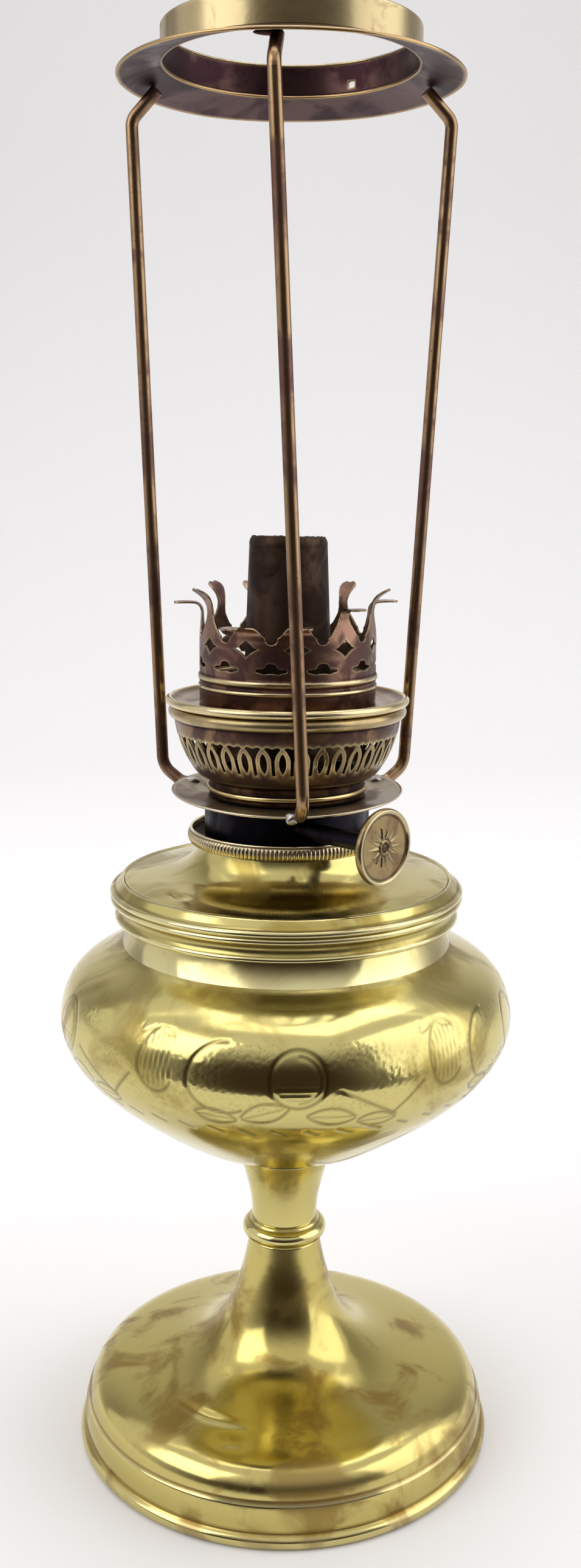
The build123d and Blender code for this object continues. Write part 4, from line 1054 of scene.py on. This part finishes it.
flange = lathe("shade_flange_spun", flange_outline(), turns=300, shape=hammered)
fit(flange, "tripod", ring_brass, "shade_brass", "shade_flange")
collar = pierced("shade_collar_band", collar_line(), 420, peep_metal, 0.65, worn=0.5)
fit(collar, "tripod", band_brass, "brass", "shade_collar")
collar.data.materials.append(ring_brass)
collar.modifiers["sheet"].material_offset = 1       # the collar is pale outside and dark inside

# %% [markdown]
# Each leg stands in a lump of soft solder, and the front rod's upper end is beaten flat to one side.
# A lump is not round, so it is an egg with two waves in its radius. The waves fall in other places
# in each lump: the seed shifts their phase, and nothing is drawn at random.

# %% Solder
def lump(name, centre, sizes, seed, metal=solder, slot="steel"):
    """A small egg of metal whose radius is waved by two products of sines, turned by the seed."""
    v = np.linspace(0, np.pi, 14)[:, None]
    u = np.linspace(0, 2 * np.pi, 24, endpoint=False)[None, :]
    swell = 1 + 0.16 * np.sin(3 * u + seed) * np.sin(2 * v) + 0.12 * np.sin(2 * u + 2 * seed) * np.sin(v) ** 2
    x, y, z = swell * np.sin(v) * np.cos(u), swell * np.sin(v) * np.sin(u), -np.cos(v) * (1 + 0 * u)
    co = np.stack([x, y, z], -1).reshape(-1, 3) * sizes + centre
    obj = new_object(name, co, grid_faces(14, 24, False, True))
    merge_poles(obj)
    return fit(obj, "tripod", metal, slot)


LEG_SIDES = {"leg_left": -115.0, "leg_front": 6.0, "leg_right": 121.0}     # degrees from the front
SAUCER_R = 35.9


def foot_of(node_name, inward, sunk):
    """The place of a leg's foot on the saucer's rim, in millimetres."""
    azimuth = math.radians(LEG_SIDES[node_name])
    radius, height = SAUCER_R - inward, span("saucer")[0] + 1.4 - sunk
    return np.array([radius * math.sin(azimuth), -radius * math.cos(azimuth), height])


lump("solder_left", foot_of("leg_left", 1.5, -0.6), (3.0, 2.6, 1.3), 1.0)
lump("solder_front", foot_of("leg_front", 0.6, 0.9) + (-2.3, 0, 0), (2.0, 1.4, 1.9), 2.2)
lump("solder_right", foot_of("leg_right", 1.5, -0.6), (2.7, 2.8, 1.3), 3.1)

front_rod = frame["nodes"]["leg_front"]
rod_points = np.array([front_rod.matrix_world @ v.co for v in front_rod.data.vertices]) / MM
rod_tip = rod_points[rod_points[:, 2] > rod_points[:, 2].max() - 1.5].mean(0)
lump("flattened_rod_end", rod_tip + (-2.3, -0.6, -0.6), (3.4, 1.3, 0.95), 4.0, ring_brass, "shade_brass")
print("the front rod ends at", rod_tip.round(1))

# %% [markdown]
# ## The winder's knob
# A pressed button that faces out along the winder's shaft. Its face is a profile turned about the
# shaft, with a raised edge, a sunk field and a ring-shaped boss. The rays are ridges in the field
# that taper outwards, uneven in length, as a worn die would press them. The profile is turned
# upright like the others, and one matrix then lays its points along the shaft.

# %% Knob
RAYS = 14
FACE_POINTS = 42
KNOB_AT = 50.4           # back of the knob, along the shaft from the hinge's place
hinge = next(j for j in frame["record"]["behaviour"]["joints"] if j["name"] == "winder_turn")


def knob_place():
    """Turns z to the shaft's axis and moves the origin to the back of the knob."""
    out = np.array(hinge["axis"], float)
    up = np.array([0, 0, 1.0])
    place = np.eye(4)
    place[:3, 0], place[:3, 1], place[:3, 2] = np.cross(up, out), up, out
    place[:3, 3] = np.array(hinge["pos_m"]) / MM + KNOB_AT * out
    return place


def knob_outline():
    """From the middle of the back, over the hub and the rim, to the middle of the face."""
    hub = ((0, -4.4), (3.0, -4.4), (3.5, -4.0), (3.6, -0.4), (3.8, 0.05))
    back = fill(np.array([(4.2, 0), (10.6, 0)]), 1)
    edge = join(arc((10.8, 0.05), (10.9, 2.1), 0.4, 8), arc((10.8, 2.18), (9.9, 2.1), 0.1, 4), (9.6, 1.7))
    field = np.stack([np.linspace(9.4, 2.7, FACE_POINTS), np.full(FACE_POINTS, 1.55)], -1)
    boss = join(arc((2.5, 1.6), (1.3, 1.6), 0.55, 8), arc((1.1, 1.55), (0.05, 2.1), 0.15, 6), (0, 2.12))
    return join(hub, back, edge, field, boss)


def ray_height(u, r, z):
    """Ridges on the field between 2.6 mm and each ray's own end. Across, a ridge is a parabola, and
    its width goes to nothing at its end."""
    k = np.round(u * RAYS / (2 * np.pi))
    across = np.abs(u - 2 * np.pi * k / RAYS) * r
    end = 6.3 + 0.9 * np.sin(5.3 * np.mod(k, RAYS) + 1)
    width = 0.75 * np.clip((end - r) / (end - 2.6), 0, 1) ** 0.7 + 0.01
    return 0.38 * np.clip(1 - (across / width) ** 2, 0, 1) * (r > 2.6) * (r < end) * (z > 1)


def pressed_face(u, r, z):
    """The rays, on a field that is slightly uneven all round."""
    return r, z + ray_height(u, r, z) + 0.05 * np.sin(9 * u) * (z > 1) * (r < 9)


def rubbed(u, r, z):
    """Rays and raised edge are rubbed bright."""
    edge = (np.abs(r - 10.4) < 0.5) * (z > 1)
    return {"corner": np.clip(1.4 * ray_height(u, r, z) + edge, 0, 1)}


knob = lathe("winder_knob_pressed", knob_outline(), turns=336, closed=False, shape=pressed_face,
             extra=rubbed, place=knob_place())
fit(knob, "winder", button_brass, "knob_brass", "winder_knob")

# %% [markdown]
# ## Floor and light
# A pale sweep runs under the lamp and up behind it, so polished brass has something pale to
# reflect. A polished round thing shows mostly its surroundings, so they matter more than the
# lights' power. Big soft lights stand at both sides, and the room in front is darker and warmer,
# which draws the brown bands down the middle of the brass. The floor ends not far in front of the
# lamp for the same reason.

# %% Sweep
def sweep_surface():
    """Flat floor, a quarter circle and a wall: point (v, u) is u across and v along that path."""
    bend, near, far, high, half, columns = 0.8, -0.32, 1.2, 3.0, 4.0, 9      # metres
    t = np.linspace(0, math.pi / 2, 24)
    path = np.concatenate([[[near, 0]], np.stack([far + bend * np.sin(t), bend * (1 - np.cos(t))], -1),
                           [[far + bend, high]]])
    across = np.linspace(-half, half, columns)
    co = np.stack(np.broadcast_arrays(across, path[:, :1], path[:, 1:]), -1).reshape(-1, 3)
    return new_object("sweep", co / MM, grid_faces(len(path), columns, False, False))


floor = sweep_surface()
# matt white studio paper: it gives a soft shadow and no shine
studio_paper = bpy.data.materials.new("matt_studio_paper")
studio_paper.use_nodes = True
paper = studio_paper.node_tree.nodes["Principled BSDF"]
paper.inputs["Base Color"].default_value = linear("#e8e7e7")
paper.inputs["Roughness"].default_value = 0.9
paint(floor, studio_paper)
print("sweep:", len(floor.data.polygons), "faces")

# %% Lights
def soft_light(name, place, aim, size, power):
    """A square white area light at a place, turned to its aim."""
    data = bpy.data.lights.new(name, "AREA")
    data.size, data.energy = size, power
    lamp = bpy.data.objects.new(name, data)
    lamp.location = place
    run = np.subtract(aim, place)
    run = run / np.linalg.norm(run)
    lamp.rotation_euler = (math.acos(-run[2]), 0, math.atan2(-run[0], run[1]))
    bpy.context.scene.collection.objects.link(lamp)


CENTRE = (0, 0, 0.2)
soft_light("key_left", (-1.5, -0.9, 1.3), CENTRE, 1.5, 15)
soft_light("fill_right", (1.7, -0.3, 0.9), CENTRE, 1.8, 13)
soft_light("top", (0.1, 0.3, 1.8), CENTRE, 1.4, 9)
soft_light("wall", (0.0, 0.5, 1.6), (0.0, 2.0, 0.9), 1.6, 7)

world = bpy.data.worlds.new("room")
bpy.context.scene.world = world
world.use_nodes = True
tree = world.node_tree
# directions towards the viewer and not far above the floor see the dark warm room
way = node(tree, "ShaderNodeTexCoord").outputs["Generated"]
parts = node(tree, "ShaderNodeSeparateXYZ", {0: way}).outputs
front = node(tree, "ShaderNodeMapRange", {0: parts["Y"], 1: 0.1, 2: -0.95}, **SOFT_STEP).outputs[0]
low_down = node(tree, "ShaderNodeMapRange", {0: parts["Z"], 1: 0.75, 2: 0.2}, **SOFT_STEP).outputs[0]
shade = node(tree, "ShaderNodeMath", {0: front, 1: low_down}, operation="MULTIPLY").outputs[0]
room = node(tree, "ShaderNodeMix", {0: shade, 6: linear("#eeecee"), 7: linear("#3f332e")},
            **COLOURS).outputs[2]
background = next(n for n in tree.nodes if n.type == "BACKGROUND")
tree.links.new(room, background.inputs["Color"])
background.inputs["Strength"].default_value = 1.0
print("lights:", len(bpy.data.lights), "and the room")

# %% [markdown]
# ## The solids that stay
# Plain turned and bent parts, most of them inside the burner or the foot, are right as they are in
# the frame. Each gets the finish of its slot, except that the burner's pot, base plate, air deck and winder
# housing are nearly black.

# %% Solids that stay
REST = {
    "brass": spun_brass, "burner_brass": burner_brass, "tube_brass": burnt_brass, "rod_bronze": rod_brass,
    "steel": plain_steel, "cotton": cotton,
}
NEAR_BLACK_PARTS = ("burner_pot", "base_plate", "air_deck", "winder_housing")
for entry in frame["record"]["subparts"]:
    solid = frame["nodes"][entry["node"]]
    if not solid.hide_render:
        paint(solid, near_black_brass if entry["node"] in NEAR_BLACK_PARTS else REST[entry["material_slot"]])
        print("solid kept:", entry["node"])
